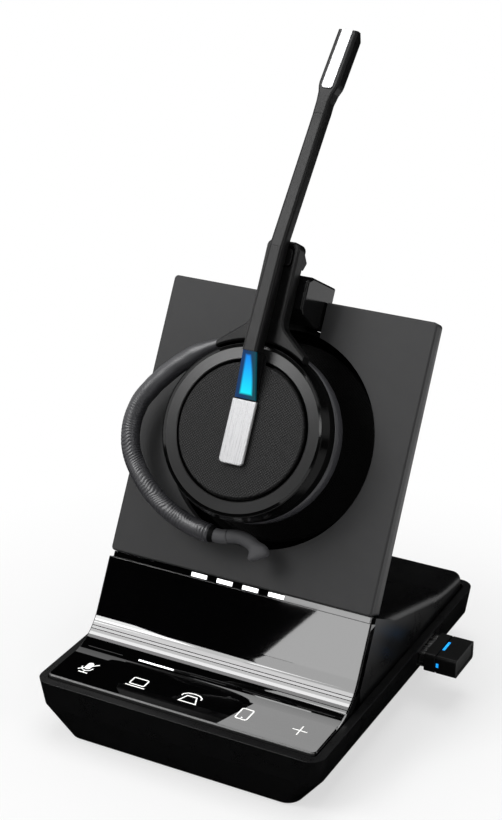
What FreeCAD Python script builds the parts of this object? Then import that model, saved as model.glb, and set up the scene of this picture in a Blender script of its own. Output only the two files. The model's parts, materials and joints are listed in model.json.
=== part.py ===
import FreeCAD, Part

import math
import os

import Sketcher

# A wireless headset on its charging base.  Millimetres, +Z up, +X to the user's right,
# the user sits on the -Y side.  The origin is the middle of the base's underside, on the desk.

SIZES = [
    ("base_width", 92, "base across its rim"),
    ("base_depth", 114, "base front to back at its rim"),
    ("rim_height", 19, "rim above the desk"),
    ("rim_width", 2.5, "flat strip on top of the rim"),
    ("rim_corner", 4.5, "corner radius of the rim"),
    ("band_height", 8.5, "upright band below the rim"),
    ("band_draft", 1, "band leans in by this much"),
    ("bevel_side", 8.5, "underside bevel, left and right"),
    ("bevel_front", 3.3, "underside bevel, front"),
    ("bevel_back", 6, "underside bevel, back"),
    ("desk_gap", 0.8, "tray underside above the desk"),
    ("tray_floor", 2.6, "thickness of the tray's floor"),
    ("ledge_width", 2, "ledge that panel and housing rest on"),
    ("seat_depth", 2.4, "ledge below the rim"),
    ("cavity_inset", 9, "lower cavity in from the rim"),
    ("foot_clear", 1.5, "rubber foot clear of the case screws"),
    ("foot_end", 15, "rubber foot in from the base's ends"),
    ("foot_sink", 1.2, "rubber foot's recess"),
    ("ballast_width", 50, "steel weight across"),
    ("ballast_depth", 74, "steel weight front to back"),
    ("ballast_thick", 4, "steel weight's thickness"),
    ("screw_inset", 13, "case screws in from the base's sides and back"),
    ("screw_front", -18, "front case screws' place"),
    ("screw_radius", 1.4, "case screw's shank"),
    ("screw_head", 2.5, "case screw's head radius"),
    ("boss_radius", 3.2, "screw boss"),
    ("board_thick", 1.6, "main circuit board"),
    ("board_inset", 8, "main board in from the base's sides and back"),
    ("board_front", -12, "main board's front edge"),
    ("touch_clear", 1, "touch board clear of the ledge"),
    ("touch_setback", 12, "touch board's end ahead of the housing"),
    ("touch_thick", 1, "touch board's thickness"),
    ("guide_depth", 1.2, "light guides front to back"),
    ("fit_gap", 0.2, "gap between fitted shells"),
    ("soft_gap", 0.3, "gap round soft and moving pieces"),
    ("plate_tilt", 28.6, "upright leans back by this angle"),
    ("plate_y", -18.24, "upright's lower front edge, front to back"),
    ("plate_z", 44.25, "upright's lower front edge, height"),
    ("plate_width", 85.7, "upright across"),
    ("plate_height", 85.1, "upright's height along its slope"),
    ("plate_front", 3, "front plate's thickness"),
    ("plate_foot", 6.2, "upright's thickness at its foot"),
    ("plate_top", 4.6, "upright's thickness at its top"),
    ("plate_corner", 1.2, "upright's corner radius"),
    ("hole_radius", 32.6, "round hole in the upright"),
    ("hole_height", 43, "hole's centre above the lower edge"),
    ("notch_half", 8.3, "half width of the notch"),
    ("dish_wall", 1.4, "dish wall"),
    ("dish_depth", 11, "dish floor behind the plate's front"),
    ("dish_round", 3, "round between dish wall and floor"),
    ("mesh_radius", 29.2, "mesh disc"),
    ("mesh_thick", 1, "mesh disc's thickness"),
    ("tongue_half", 23, "half width of the upright's tongue"),
    ("tongue_drop", 15, "tongue below the upright"),
    ("tongue_thick", 1.2, "tongue's thickness"),
    ("panel_thick", 3.4, "touch panel's thickness"),
    ("panel_front_gap", 0.7, "panel behind the rim strip"),
    ("panel_bend", 15, "inner radius of the panel's bend"),
    ("panel_back", 0.75, "panel's slope behind the plate's front"),
    ("panel_drop", 2, "panel's top edge below the plate"),
    ("housing_gap", 0.5, "rear housing clear of the rim"),
    ("housing_wall", 2.2, "rear housing's wall"),
    ("housing_front", -24, "rear housing's front wall"),
    ("ridge_back", 35, "where the slope ends at the back"),
    ("ridge_height", 26, "height where the slope ends"),
    ("platform_height", 24, "height of the back edge"),
    ("ridge_round", 60, "rounding where the slope ends"),
    ("housing_round", 3, "rounding of the housing's long edges"),
    ("lamp_length", 5, "white light bar's length"),
    ("lamp_pitch", 8.5, "light bars' pitch"),
    ("lamp_start", -15.4, "first light bar's left end"),
    ("cradle_half", 7.8, "half width of the cradle block"),
    ("cradle_low", 76.5, "cradle's lower side"),
    ("cradle_high", 90, "cradle's top"),
    ("cradle_reach", 15, "cradle's front"),
    ("cradle_tail", 4.5, "cradle's top reaches back over the plate"),
    ("cradle_wall", 1.6, "cradle's side walls"),
    ("pin_spread", 3.4, "charging pins out from the middle"),
    ("pin_height", 80.6, "charging pins' height"),
    ("pin_radius", 0.8, "charging pin"),
    ("pin_proud", 0.7, "charging pin stands proud of the cradle"),
    ("usb_width", 12, "USB plug across"),
    ("usb_height", 4.5, "USB plug's thickness"),
    ("usb_length", 12, "USB plug's length"),
    ("usb_gap", 0.12, "gap round the plug in its socket"),
    ("usb_wall", 0.35, "sheet of plug and socket"),
    ("usb_y", 18.5, "side socket's place"),
    ("usb_depth", 12.6, "side socket's depth"),
    ("dongle_gap", 1.8, "dongle off the base's rim"),
    ("dongle_length", 10.2, "dongle's length outside its plug"),
    ("dongle_width", 14.4, "dongle across"),
    ("dongle_height", 6, "dongle's thickness"),
    ("dongle_groove", 3.4, "groove from the dongle's inner end"),
    ("jack_width", 7.8, "line jack's mouth across"),
    ("jack_height", 5.9, "line jack's mouth height"),
    ("jack_depth", 12, "line jack's depth"),
    ("jack_x", 10, "first line jack's place"),
    ("jack_pitch", 12.5, "line jacks' pitch"),
    ("power_x", -23, "power inlet's place"),
    ("power_radius", 2.75, "power inlet's bore"),
    ("micro_x", -10, "small USB socket's place"),
    ("micro_width", 7.4, "small USB socket across"),
    ("micro_height", 2.6, "small USB socket's mouth height"),
    ("cup_radius", 25.8, "ear cup's band"),
    ("cup_back", 13.6, "ear cup's back rim"),
    ("band_front", 17.2, "where the bevel starts"),
    ("cup_face", 20.3, "front of the ring"),
    ("cup_floor", 17.4, "inside of the cup's front wall"),
    ("ring_seat", 18.9, "what the ring rests on"),
    ("ring_outer", 24.5, "ring's outer radius"),
    ("ring_inner", 19.8, "ring's inner radius"),
    ("cup_wall", 2.2, "cup's side wall"),
    ("baffle_thick", 1.2, "speaker baffle"),
    ("driver_radius", 15, "speaker driver"),
    ("driver_depth", 2.5, "speaker driver's depth"),
    ("pad_inner", 13.5, "ear pad's opening"),
    ("pad_back", 5.5, "ear pad's back face"),
    ("disc_radius", 19.4, "boom's turning disc"),
    ("disc_face", 20.9, "front of the disc"),
    ("shaft_radius", 2.8, "boom's shaft"),
    ("shaft_end", 16.5, "inner end of the shaft"),
    ("key_width", 7.5, "call key across"),
    ("key_low", -10, "call key's lower end"),
    ("key_high", 8.4, "call key's upper end"),
    ("key_face", 22.5, "call key's face"),
    ("key_thick", 0.9, "call key's thickness"),
    ("lens_foot", 6.6, "light lens across at its foot"),
    ("lens_top", 4.2, "light lens across at its top"),
    ("boom_start", 22, "where the boom's lower half starts"),
    ("boom_joint", 52.5, "where the boom's upper half starts"),
    ("boom_wide", 4.8, "boom's lower half across"),
    ("joint_front", 25.4, "front of the boom where its halves meet"),
    ("joint_back", 21.2, "back of the boom where its halves meet"),
    ("boom_front", 27, "front of the boom's lower half"),
    ("boom_back", 22, "back of the boom's lower half"),
    ("arm_wide", 4.5, "arm across at its foot"),
    ("arm_thin", 4.2, "arm across at its top"),
    ("arm_top", 93, "where the arm ends"),
    ("arm_top_front", 17.6, "front of the arm at its top"),
    ("arm_deep", 4.8, "arm's depth at its top"),
    ("head_shoulder", 6, "length over which the microphone head widens"),
    ("head_start", 102.5, "where the microphone head has its full width"),
    ("head_front", 15.8, "front of the head there"),
    ("head_tip", 119.6, "end of the head"),
    ("head_tip_front", 11, "front of the head at its tip"),
    ("head_wide", 6.3, "microphone head across"),
    ("head_deep", 5.2, "microphone head's depth"),
    ("head_slant", 2.3, "slanted back edge of the head's tip"),
    ("strip_wide", 3.4, "bright strip on the head"),
    ("strip_round", 0.8, "rounding of the strip's lower corners"),
    ("stem_half", 5.2, "half width of the stem"),
    ("stem_top", 98, "top of the stem"),
    ("stem_back", 16, "stem's back face"),
    ("stem_split", 17, "seam between the stem's shells"),
    ("stem_front", 20.5, "stem's front face"),
    ("stem_wall", 1, "stem's wall"),
    ("flare_half", 13.8, "half width of the stem's flared foot"),
    ("flare_low", 66.8, "height of the flare's ends"),
    ("flare_high", 73.8, "height where the flare starts"),
    ("flare_bend", 4, "bend between the stem's side and its flare"),
    ("stem_key_low", 91, "stem key's lower end"),
    ("stem_key_high", 96, "stem key's upper end"),
    ("stem_key_half", 3.4, "half width of the stem key"),
    ("stem_rim", 1.2, "raised rim round the stem's face"),
    ("latch_clear", 1.2, "latch above the cradle's top"),
    ("latch_rise", 2.4, "latch's lower end to its highest ridge"),
    ("latch_proud", 3.8, "latch stands proud of the stem's back"),
    ("hook_plane", 8.6, "ear hook in front of the upright"),
    ("wire_height", 68.6, "ear hook's pivot line"),
    ("wire_radius", 0.7, "ear hook's wire"),
    ("wire_end", -8.8, "inner end of the wire"),
    ("sleeve_radius", 2.85, "padded sleeve"),
    ("sleeve_thin", 1.5, "sleeve's upper end"),
    ("wire_run", 3.7, "straight of the wire from its inner end"),
    ("wire_bend", 8.7, "wire's bend"),
    ("wire_angle", 25.9, "wire's bend, degrees"),
    ("brow_bend", 54, "hook's upper bend"),
    ("brow_angle", 30.8, "hook's upper bend, degrees"),
    ("back_bend", 18.5, "hook's bend behind the ear"),
    ("back_angle", 73, "hook's bend behind the ear, degrees"),
    ("low_bend", 40.7, "hook's lower bend"),
    ("low_angle", 47.3, "hook's lower bend, degrees"),
    ("collar_length", 1.4, "collar between sleeve and rubber end"),
    ("tip_radius", 2, "rubber end of the hook"),
    ("neck_bend", 14, "first bend of the rubber end"),
    ("neck_angle", 20, "first bend of the rubber end, degrees"),
    ("tip_bend", 10.5, "last bend of the rubber end"),
    ("tip_angle", 78, "last bend of the rubber end, degrees"),
]

doc = FreeCAD.newDocument("headset_base")
sheet = doc.addObject("Spreadsheet::Sheet", "sizes")
PARTS = []


class Formula:
    """A number together with the spreadsheet formula that it comes from."""

    def __init__(self, number, text):
        self.number = number
        self.text = text

    def __add__(self, other):
        return join(self, "+", other)

    def __radd__(self, other):
        return join(other, "+", self)

    def __sub__(self, other):
        return join(self, "-", other)

    def __rsub__(self, other):
        return join(other, "-", self)

    def __mul__(self, other):
        return join(self, "*", other)

    def __rmul__(self, other):
        return join(other, "*", self)

    def __truediv__(self, other):
        return join(self, "/", other)

    def __neg__(self):
        return join(0, "-", self)


def formula(value):
    if isinstance(value, Formula):
        return value
    return Formula(float(value), repr(float(value)))


def join(left, sign, right):
    left = formula(left)
    right = formula(right)
    number = {
        "+": lambda p, q: p + q,
        "-": lambda p, q: p - q,
        "*": lambda p, q: p * q,
        "/": lambda p, q: p / q,
    }[sign](left.number, right.number)
    return Formula(number, f"({left.text} {sign} {right.text})")


def sine(angle):
    return Formula(math.sin(math.radians(angle.number)), f"sin({angle.text})")


def cosine(angle):
    return Formula(math.cos(math.radians(angle.number)), f"cos({angle.text})")


def tangent(angle):
    return Formula(math.tan(math.radians(angle.number)), f"tan({angle.text})")


def root(value):
    value = formula(value)
    return Formula(math.sqrt(value.number), f"sqrt({value.text})")


class Sizes:
    """The spreadsheet's values by name."""


s = Sizes()
for row, (alias, number, meaning) in enumerate(SIZES, start=1):
    sheet.set(f"A{row}", alias)
    sheet.set(f"B{row}", str(number))
    sheet.set(f"C{row}", meaning)
    sheet.setAlias(f"B{row}", alias)
    setattr(s, alias, Formula(float(number), f"sizes.{alias}"))
doc.recompute()

SIN = sine(s.plate_tilt)
COS = cosine(s.plate_tilt)


class Frame:
    """Local axes: on the desk, or on the upright with y up its slope and z out of its front."""

    def __init__(self, y, z, leaning):
        self.y = formula(y)
        self.z = formula(z)
        self.leaning = leaning

    def point(self, x, y, z):
        if not self.leaning:
            return formula(x), formula(y), formula(z)
        return formula(x), self.y + SIN * y - COS * z, self.z + COS * y + SIN * z


DESK = Frame(0, 0, False)
PLATE = Frame(s.plate_y, s.plate_z, True)
CUP = Frame(s.plate_y + SIN * s.hole_height, s.plate_z + COS * s.hole_height, True)


def bind(thing, path, value):
    value = formula(value)
    thing.setExpression(path, value.text)


def place(thing, frame, x=0, y=0, z=0):
    px, py, pz = frame.point(x, y, z)
    angle = 90 - s.plate_tilt if frame.leaning else formula(0)
    turn = FreeCAD.Rotation(FreeCAD.Vector(1, 0, 0), angle.number)
    thing.Placement = FreeCAD.Placement(FreeCAD.Vector(px.number, py.number, pz.number), turn)
    bind(thing, "Placement.Base.x", px)
    bind(thing, "Placement.Base.y", py)
    bind(thing, "Placement.Base.z", pz)
    if frame.leaning:
        bind(thing, "Placement.Rotation.Angle", angle)


def node(thing):
    """Mark an object as a finished piece of the headset or its base."""
    PARTS.append(thing)
    return thing


# ---- sketches and PartDesign features ------------------------------------------------------


def start_body(label, frame):
    body = doc.addObject("PartDesign::Body", label)
    body.Label = label
    place(body, frame)
    return body


def origin_feature(body, role):
    return [item for item in body.Origin.OriginFeatures if item.Role == role][0]


def arc_between(start, end, radius, turn):
    """Minor arc from start to end; turn is 1 for counter-clockwise, -1 for clockwise."""
    first = FreeCAD.Vector(start[0].number, start[1].number, 0)
    last = FreeCAD.Vector(end[0].number, end[1].number, 0)
    chord = last - first
    rise = math.sqrt(max(radius.number ** 2 - (chord.Length / 2) ** 2, 0))
    across = FreeCAD.Vector(-chord.y, chord.x, 0).normalize() * turn
    centre = (first + last) * 0.5 + across * rise
    circle = Part.Circle(centre, FreeCAD.Vector(0, 0, 1), radius.number)
    low, high = (first, last) if turn > 0 else (last, first)
    return Part.ArcOfCircle(circle, circle.parameter(low), circle.parameter(high))


def add_outline(sketch, corners):
    """Closed outline; a corner is (x, y), or (x, y, radius, turn) where an arc arrives at it."""
    corners = [tuple(map(formula, corner[:3])) + tuple(corner[3:]) for corner in corners]
    edges = []
    for index, corner in enumerate(corners):
        previous = corners[index - 1]
        if len(corner) == 4:
            shape = arc_between(previous, corner, corner[2], corner[3])
            edge = sketch.addGeometry(shape, False)
            ends = (1, 2) if corner[3] > 0 else (2, 1)
            fixed = sketch.addConstraint(Sketcher.Constraint("Radius", edge, corner[2].number))
            sketch.setExpression(f"Constraints[{fixed}]", corner[2].text)
        else:
            first = FreeCAD.Vector(previous[0].number, previous[1].number, 0)
            last = FreeCAD.Vector(corner[0].number, corner[1].number, 0)
            edge = sketch.addGeometry(Part.LineSegment(first, last), False)
            ends = (1, 2)
        edges.append((edge, ends))
    for index, (edge, ends) in enumerate(edges):
        following, following_ends = edges[(index + 1) % len(edges)]
        sketch.addConstraint(
            Sketcher.Constraint("Coincident", edge, ends[1], following, following_ends[0])
        )
        for kind, value in zip(("DistanceX", "DistanceY"), corners[index][:2]):
            fixed = sketch.addConstraint(
                Sketcher.Constraint(kind, -1, 1, edge, ends[1], value.number)
            )
            sketch.setExpression(f"Constraints[{fixed}]", value.text)


def add_circle(sketch, x, y, radius):
    x, y, radius = formula(x), formula(y), formula(radius)
    centre = FreeCAD.Vector(x.number, y.number, 0)
    circle = Part.Circle(centre, FreeCAD.Vector(0, 0, 1), radius.number)
    edge = sketch.addGeometry(circle, False)
    for kind, value in zip(("DistanceX", "DistanceY"), (x, y)):
        fixed = sketch.addConstraint(Sketcher.Constraint(kind, -1, 1, edge, 3, value.number))
        sketch.setExpression(f"Constraints[{fixed}]", value.text)
    fixed = sketch.addConstraint(Sketcher.Constraint("Radius", edge, radius.number))
    sketch.setExpression(f"Constraints[{fixed}]", radius.text)


def draw(body, name, plane, outlines=(), circles=(), offset=0):
    sketch = body.newObject("Sketcher::SketchObject", f"{body.Label}_{name}")
    sketch.AttachmentSupport = [(origin_feature(body, f"{plane}_Plane"), "")]
    sketch.MapMode = "FlatFace"
    bind(sketch, "AttachmentOffset.Base.z", offset)
    for outline in outlines:
        add_outline(sketch, outline)
    for x, y, radius in circles:
        add_circle(sketch, x, y, radius)
    return sketch


def pad(body, sketch, length, symmetric=False):
    feature = body.newObject("PartDesign::Pad", f"{sketch.Name}_pad")
    feature.Profile = sketch
    feature.SideType = "Symmetric" if symmetric else "One side"
    bind(feature, "Length", length)
    return feature


def pocket(body, sketch, length, symmetric=False, upward=False):
    """Cut away from the sketch against its normal, or along it where upward is set."""
    feature = body.newObject("PartDesign::Pocket", f"{sketch.Name}_pocket")
    feature.Profile = sketch
    feature.SideType = "Symmetric" if symmetric else "One side"
    feature.Reversed = upward
    bind(feature, "Length", length)
    return feature


def loft(body, sketches, name):
    feature = body.newObject("PartDesign::AdditiveLoft", f"{body.Label}_{name}")
    feature.Profile = sketches[0]
    feature.Sections = sketches[1:]
    feature.Ruled = True
    return feature


def revolve(body, sketch):
    feature = body.newObject("PartDesign::Revolution", f"{sketch.Name}_turned")
    feature.Profile = sketch
    feature.ReferenceAxis = (origin_feature(body, "Z_Axis"), [""])
    feature.Angle = 360
    return feature


def edge_names(body, wanted):
    """Names of the tip's edges whose middle point, in the body's own axes, passes the test."""
    doc.recompute()
    shape = body.Tip.Shape
    names = []
    for index, edge in enumerate(shape.Edges, start=1):
        middle = edge.valueAt((edge.FirstParameter + edge.LastParameter) / 2)
        if wanted(middle, edge):
            names.append(f"Edge{index}")
    return names


def dress(body, kind, size, wanted):
    """Fillet or chamfer the edges that pass the test."""
    names = edge_names(body, wanted)
    base = body.Tip
    feature = body.newObject(f"PartDesign::{kind}", f"{body.Label}_{kind.lower()}")
    feature.Base = (base, names)
    bind(feature, "Radius" if kind == "Fillet" else "Size", size)
    return feature


def near(value, target, margin=0.02):
    return abs(value - formula(target).number) < margin


def rectangle(x0, x1, y0, y1):
    return [(x0, y0), (x1, y0), (x1, y1), (x0, y1)]


def rounded(x0, x1, y0, y1, radius):
    """Rectangle outline with round corners, counter-clockwise."""
    return [
        (x0 + radius, y0, radius, 1),
        (x1 - radius, y0),
        (x1, y0 + radius, radius, 1),
        (x1, y1 - radius),
        (x1 - radius, y1, radius, 1),
        (x0 + radius, y1),
        (x0, y1 - radius, radius, 1),
        (x0, y0 + radius),
    ]


# ---- Part primitives and booleans ----------------------------------------------------------


def box(label, frame, x, y, z):
    """Box between the pairs x, y and z in a frame's axes."""
    thing = doc.addObject("Part::Box", label)
    for side, (low, high) in zip(("Length", "Width", "Height"), (x, y, z)):
        bind(thing, side, formula(high) - low)
    place(thing, frame, x[0], y[0], z[0])
    return thing


def rod(label, frame, x, y, z, radius):
    """Cylinder along the frame's z between the pair z."""
    thing = doc.addObject("Part::Cylinder", label)
    bind(thing, "Radius", radius)
    bind(thing, "Height", formula(z[1]) - z[0])
    place(thing, frame, x, y, z[0])
    return thing


def cut(label, base, tools):
    thing = doc.addObject("Part::Cut", label)
    thing.Base = base
    thing.Tool = tools[0] if len(tools) == 1 else fuse(f"{label}_tools", tools)
    return thing


def fuse(label, things):
    thing = doc.addObject("Part::MultiFuse", label)
    thing.Shapes = things
    return thing


def group(label, things):
    thing = doc.addObject("Part::Compound", label)
    thing.Links = things
    return thing


# ---- the base ------------------------------------------------------------------------------

HALF_WIDTH = s.base_width / 2
HALF_DEPTH = s.base_depth / 2
SEAT = s.rim_height - s.seat_depth
BAND_LOW = s.rim_height - s.band_height
FLOOR_TOP = s.desk_gap + s.tray_floor
BOARD_TOP = BAND_LOW + s.board_thick
USB_MID = BOARD_TOP + s.usb_wall + s.usb_gap + s.usb_height / 2
SOCKET_HALF = s.usb_width / 2 + s.usb_gap + s.usb_wall
SOCKET_RISE = s.usb_height / 2 + s.usb_gap + s.usb_wall
BAND_SIDE = HALF_WIDTH - s.band_draft
BAND_REAR = HALF_DEPTH - s.band_draft
PANEL_HALF = HALF_WIDTH - s.rim_width - s.fit_gap
HOUSING_HALF = HALF_WIDTH - s.rim_width - s.housing_gap
SCREW_SIDE = HALF_WIDTH - s.screw_inset
SCREW_REAR = HALF_DEPTH - s.screw_inset
FOOT_HALF = SCREW_SIDE - s.screw_head - s.foot_clear
FOOT_END = HALF_DEPTH - s.foot_end
JACK_FLOOR = 0.4
JACK_SIDE = 1.1
JACK_TOP = BOARD_TOP + JACK_FLOOR + s.jack_height + JACK_FLOOR
JACK_PLACES = [s.jack_x, s.jack_x + s.jack_pitch]
SCREW_PLACES = [
    (side * SCREW_SIDE, along) for side in (-1, 1) for along in (s.screw_front, SCREW_REAR)
]


def base_tray():
    body = start_body("base_tray", DESK)
    floor = draw(body, "floor", "XY", offset=s.desk_gap, outlines=[rounded(
        s.bevel_side - HALF_WIDTH, HALF_WIDTH - s.bevel_side,
        s.bevel_front - HALF_DEPTH, HALF_DEPTH - s.bevel_back, s.rim_corner)])
    waist = draw(body, "waist", "XY", offset=BAND_LOW, outlines=[rounded(
        -BAND_SIDE, BAND_SIDE, -BAND_REAR, BAND_REAR, s.rim_corner)])
    loft(body, [floor, waist], "bevel")
    foot_of_band = draw(body, "band_foot", "XY", offset=BAND_LOW, outlines=[rounded(
        -BAND_SIDE, BAND_SIDE, -BAND_REAR, BAND_REAR, s.rim_corner)])
    rim = draw(body, "rim", "XY", offset=s.rim_height, outlines=[rounded(
        -HALF_WIDTH, HALF_WIDTH, -HALF_DEPTH, HALF_DEPTH, s.rim_corner)])
    loft(body, [foot_of_band, rim], "band")
    inner = HALF_WIDTH - s.rim_width
    inner_y = HALF_DEPTH - s.rim_width
    seat = draw(body, "seat", "XY", offset=s.rim_height, outlines=[rounded(
        -inner, inner, -inner_y, inner_y, s.rim_corner - s.rim_width)])
    pocket(body, seat, s.seat_depth)
    hold = inner - s.ledge_width
    hold_y = inner_y - s.ledge_width
    upper = draw(body, "upper_cavity", "XY", offset=SEAT, outlines=[rectangle(
        -hold, hold, -hold_y, hold_y)])
    pocket(body, upper, SEAT - BAND_LOW)
    deep = HALF_WIDTH - s.cavity_inset
    deep_y = HALF_DEPTH - s.cavity_inset
    lower = draw(body, "lower_cavity", "XY", offset=BAND_LOW, outlines=[rectangle(
        -deep, deep, -deep_y, deep_y)])
    pocket(body, lower, BAND_LOW - FLOOR_TOP)
    bosses = draw(body, "bosses", "XY", offset=FLOOR_TOP, circles=[
        (x, y, s.boss_radius) for x, y in SCREW_PLACES])
    pad(body, bosses, BOARD_TOP - FLOOR_TOP)
    foot = draw(body, "foot_recess", "XY", offset=s.desk_gap + s.foot_sink, outlines=[rounded(
        -FOOT_HALF - s.fit_gap, FOOT_HALF + s.fit_gap,
        -FOOT_END - s.fit_gap, FOOT_END + s.fit_gap, s.rim_corner)])
    pocket(body, foot, s.foot_sink * 2)
    heads = draw(body, "screw_heads", "XY", offset=s.desk_gap + s.foot_sink, circles=[
        (x, y, s.screw_head + s.fit_gap) for x, y in SCREW_PLACES])
    pocket(body, heads, s.foot_sink * 2)
    holes = draw(body, "screw_holes", "XY", offset=BOARD_TOP, circles=[
        (x, y, s.screw_radius + s.fit_gap) for x, y in SCREW_PLACES])
    pocket(body, holes, BOARD_TOP)
    side = draw(body, "usb_mouth", "YZ", offset=HALF_WIDTH, outlines=[rectangle(
        s.usb_y - SOCKET_HALF - s.fit_gap, s.usb_y + SOCKET_HALF + s.fit_gap,
        USB_MID - SOCKET_RISE, USB_MID + SOCKET_RISE + s.fit_gap)])
    pocket(body, side, s.rim_width * 4)
    jacks = draw(body, "jack_mouths", "XZ", offset=-HALF_DEPTH, outlines=[rectangle(
        x - s.jack_width / 2 - JACK_SIDE - s.fit_gap, x + s.jack_width / 2 + JACK_SIDE + s.fit_gap,
        BOARD_TOP, s.rim_height) for x in JACK_PLACES])
    pocket(body, jacks, s.rim_width * 4, upward=True)
    power = draw(body, "power_mouth", "XZ", offset=-HALF_DEPTH, circles=[
        (s.power_x, POWER_MID, s.power_radius)])
    pocket(body, power, s.rim_width * 4, upward=True)
    micro = draw(body, "micro_mouth", "XZ", offset=-HALF_DEPTH, outlines=[rectangle(
        s.micro_x - s.micro_width / 2, s.micro_x + s.micro_width / 2,
        BOARD_TOP + s.usb_wall, BOARD_TOP + s.usb_wall + s.micro_height)])
    pocket(body, micro, s.rim_width * 4, upward=True)
    return node(body)


POWER_WALL = 0.6
POWER_MID = BOARD_TOP + s.power_radius + POWER_WALL
TONGUE_SCREW = 1.1
TONGUE_SCREWS = [(side * s.tongue_half * 0.6, -s.tongue_drop * 0.6) for side in (-1, 1)]
REAR_INSIDE = HALF_DEPTH - s.rim_width - s.ledge_width


def foot_pad():
    body = start_body("foot_pad", DESK)
    slab = draw(body, "slab", "XY", outlines=[rounded(
        -FOOT_HALF, FOOT_HALF, -FOOT_END, FOOT_END, s.rim_corner)])
    pad(body, slab, s.desk_gap + s.foot_sink)
    dress(body, "Chamfer", s.desk_gap / 2, lambda middle, edge: near(middle.z, 0))
    return node(body)


def ballast_plate():
    half = s.ballast_width / 2
    half_y = s.ballast_depth / 2
    slab = box("ballast_slab", DESK, (-half, half), (-half_y, half_y),
               (FLOOR_TOP, FLOOR_TOP + s.ballast_thick))
    holes = [rod(f"ballast_hole_{index}", DESK, 0, along,
                 (FLOOR_TOP - 1, FLOOR_TOP + s.ballast_thick + 1), s.screw_head)
             for index, along in enumerate((-half_y * 0.7, half_y * 0.7))]
    return node(cut("ballast_plate", slab, holes))


def case_screws():
    pieces = []
    for index, (x, y) in enumerate(SCREW_PLACES):
        head = rod(f"screw_head_{index}", DESK, x, y,
                   (s.desk_gap + s.fit_gap, s.desk_gap + s.foot_sink), s.screw_head)
        shank = rod(f"screw_shank_{index}", DESK, x, y,
                    (s.desk_gap + s.foot_sink, BOARD_TOP + s.screw_radius * 3), s.screw_radius)
        pieces.append(fuse(f"case_screw_{index}", [head, shank]))
    return node(group("case_screws", pieces))


def slope_point(up, out):
    """(y, z) of a point at a height up the upright's slope and out of its front."""
    return PLATE.point(0, up, out)[1:]


def touch_panel():
    body = start_body("touch_panel", DESK)
    top = SEAT + s.panel_thick
    up = (top - s.plate_z + s.panel_back * SIN) / COS
    bend_y, bend_z = slope_point(up, -s.panel_back)
    run = s.panel_bend * tangent((90 - s.plate_tilt) / 2)
    front = s.rim_width + s.panel_front_gap - HALF_DEPTH
    outside = slope_point(-s.panel_drop, -s.panel_back)
    inside = slope_point(-s.panel_drop, -s.panel_back - s.panel_thick)
    section = [
        (front, SEAT),
        (front, top),
        (bend_y - run, top),
        (bend_y + run * SIN, top + run * COS, s.panel_bend, 1),
        outside,
        inside,
        (bend_y + run * SIN + s.panel_thick * COS, top + run * COS - s.panel_thick * SIN),
        (bend_y - run, SEAT, s.panel_bend + s.panel_thick, -1),
    ]
    pad(body, draw(body, "section", "YZ", outlines=[section]), PANEL_HALF * 2, symmetric=True)
    dress(body, "Fillet", s.rim_corner / 3, lambda middle, edge:
          near(middle.y, front) and near(abs(middle.x), PANEL_HALF))
    dress(body, "Chamfer", 0.35, lambda middle, edge:
          near(middle.z, top) and edge.Length > 10 or near(middle.y, front) and near(middle.z, top))
    return node(body)


def touch_board():
    top = SEAT - s.fit_gap
    inset = s.rim_width + s.ledge_width + s.touch_clear
    half = HALF_WIDTH - inset
    board = box("touch_board", DESK, (-half, half),
                (inset - HALF_DEPTH, s.housing_front - s.touch_setback),
                (top - s.touch_thick, top))
    return node(board)


def panel_light_guides():
    """Five light bars under the panel, one above each symbol, on the touch board."""
    guides = []
    length = PANEL_HALF / 3.5
    back = s.housing_front - s.touch_setback - s.fit_gap
    for place_number in range(-2, 3):
        middle = place_number * PANEL_HALF / 2.525
        guides.append(box(f"panel_light_guide_{place_number + 2}", DESK,
                          (middle - length / 2, middle + length / 2),
                          (back - s.guide_depth, back), (SEAT - s.fit_gap, SEAT)))
    return node(group("panel_light_guides", guides))


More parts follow.
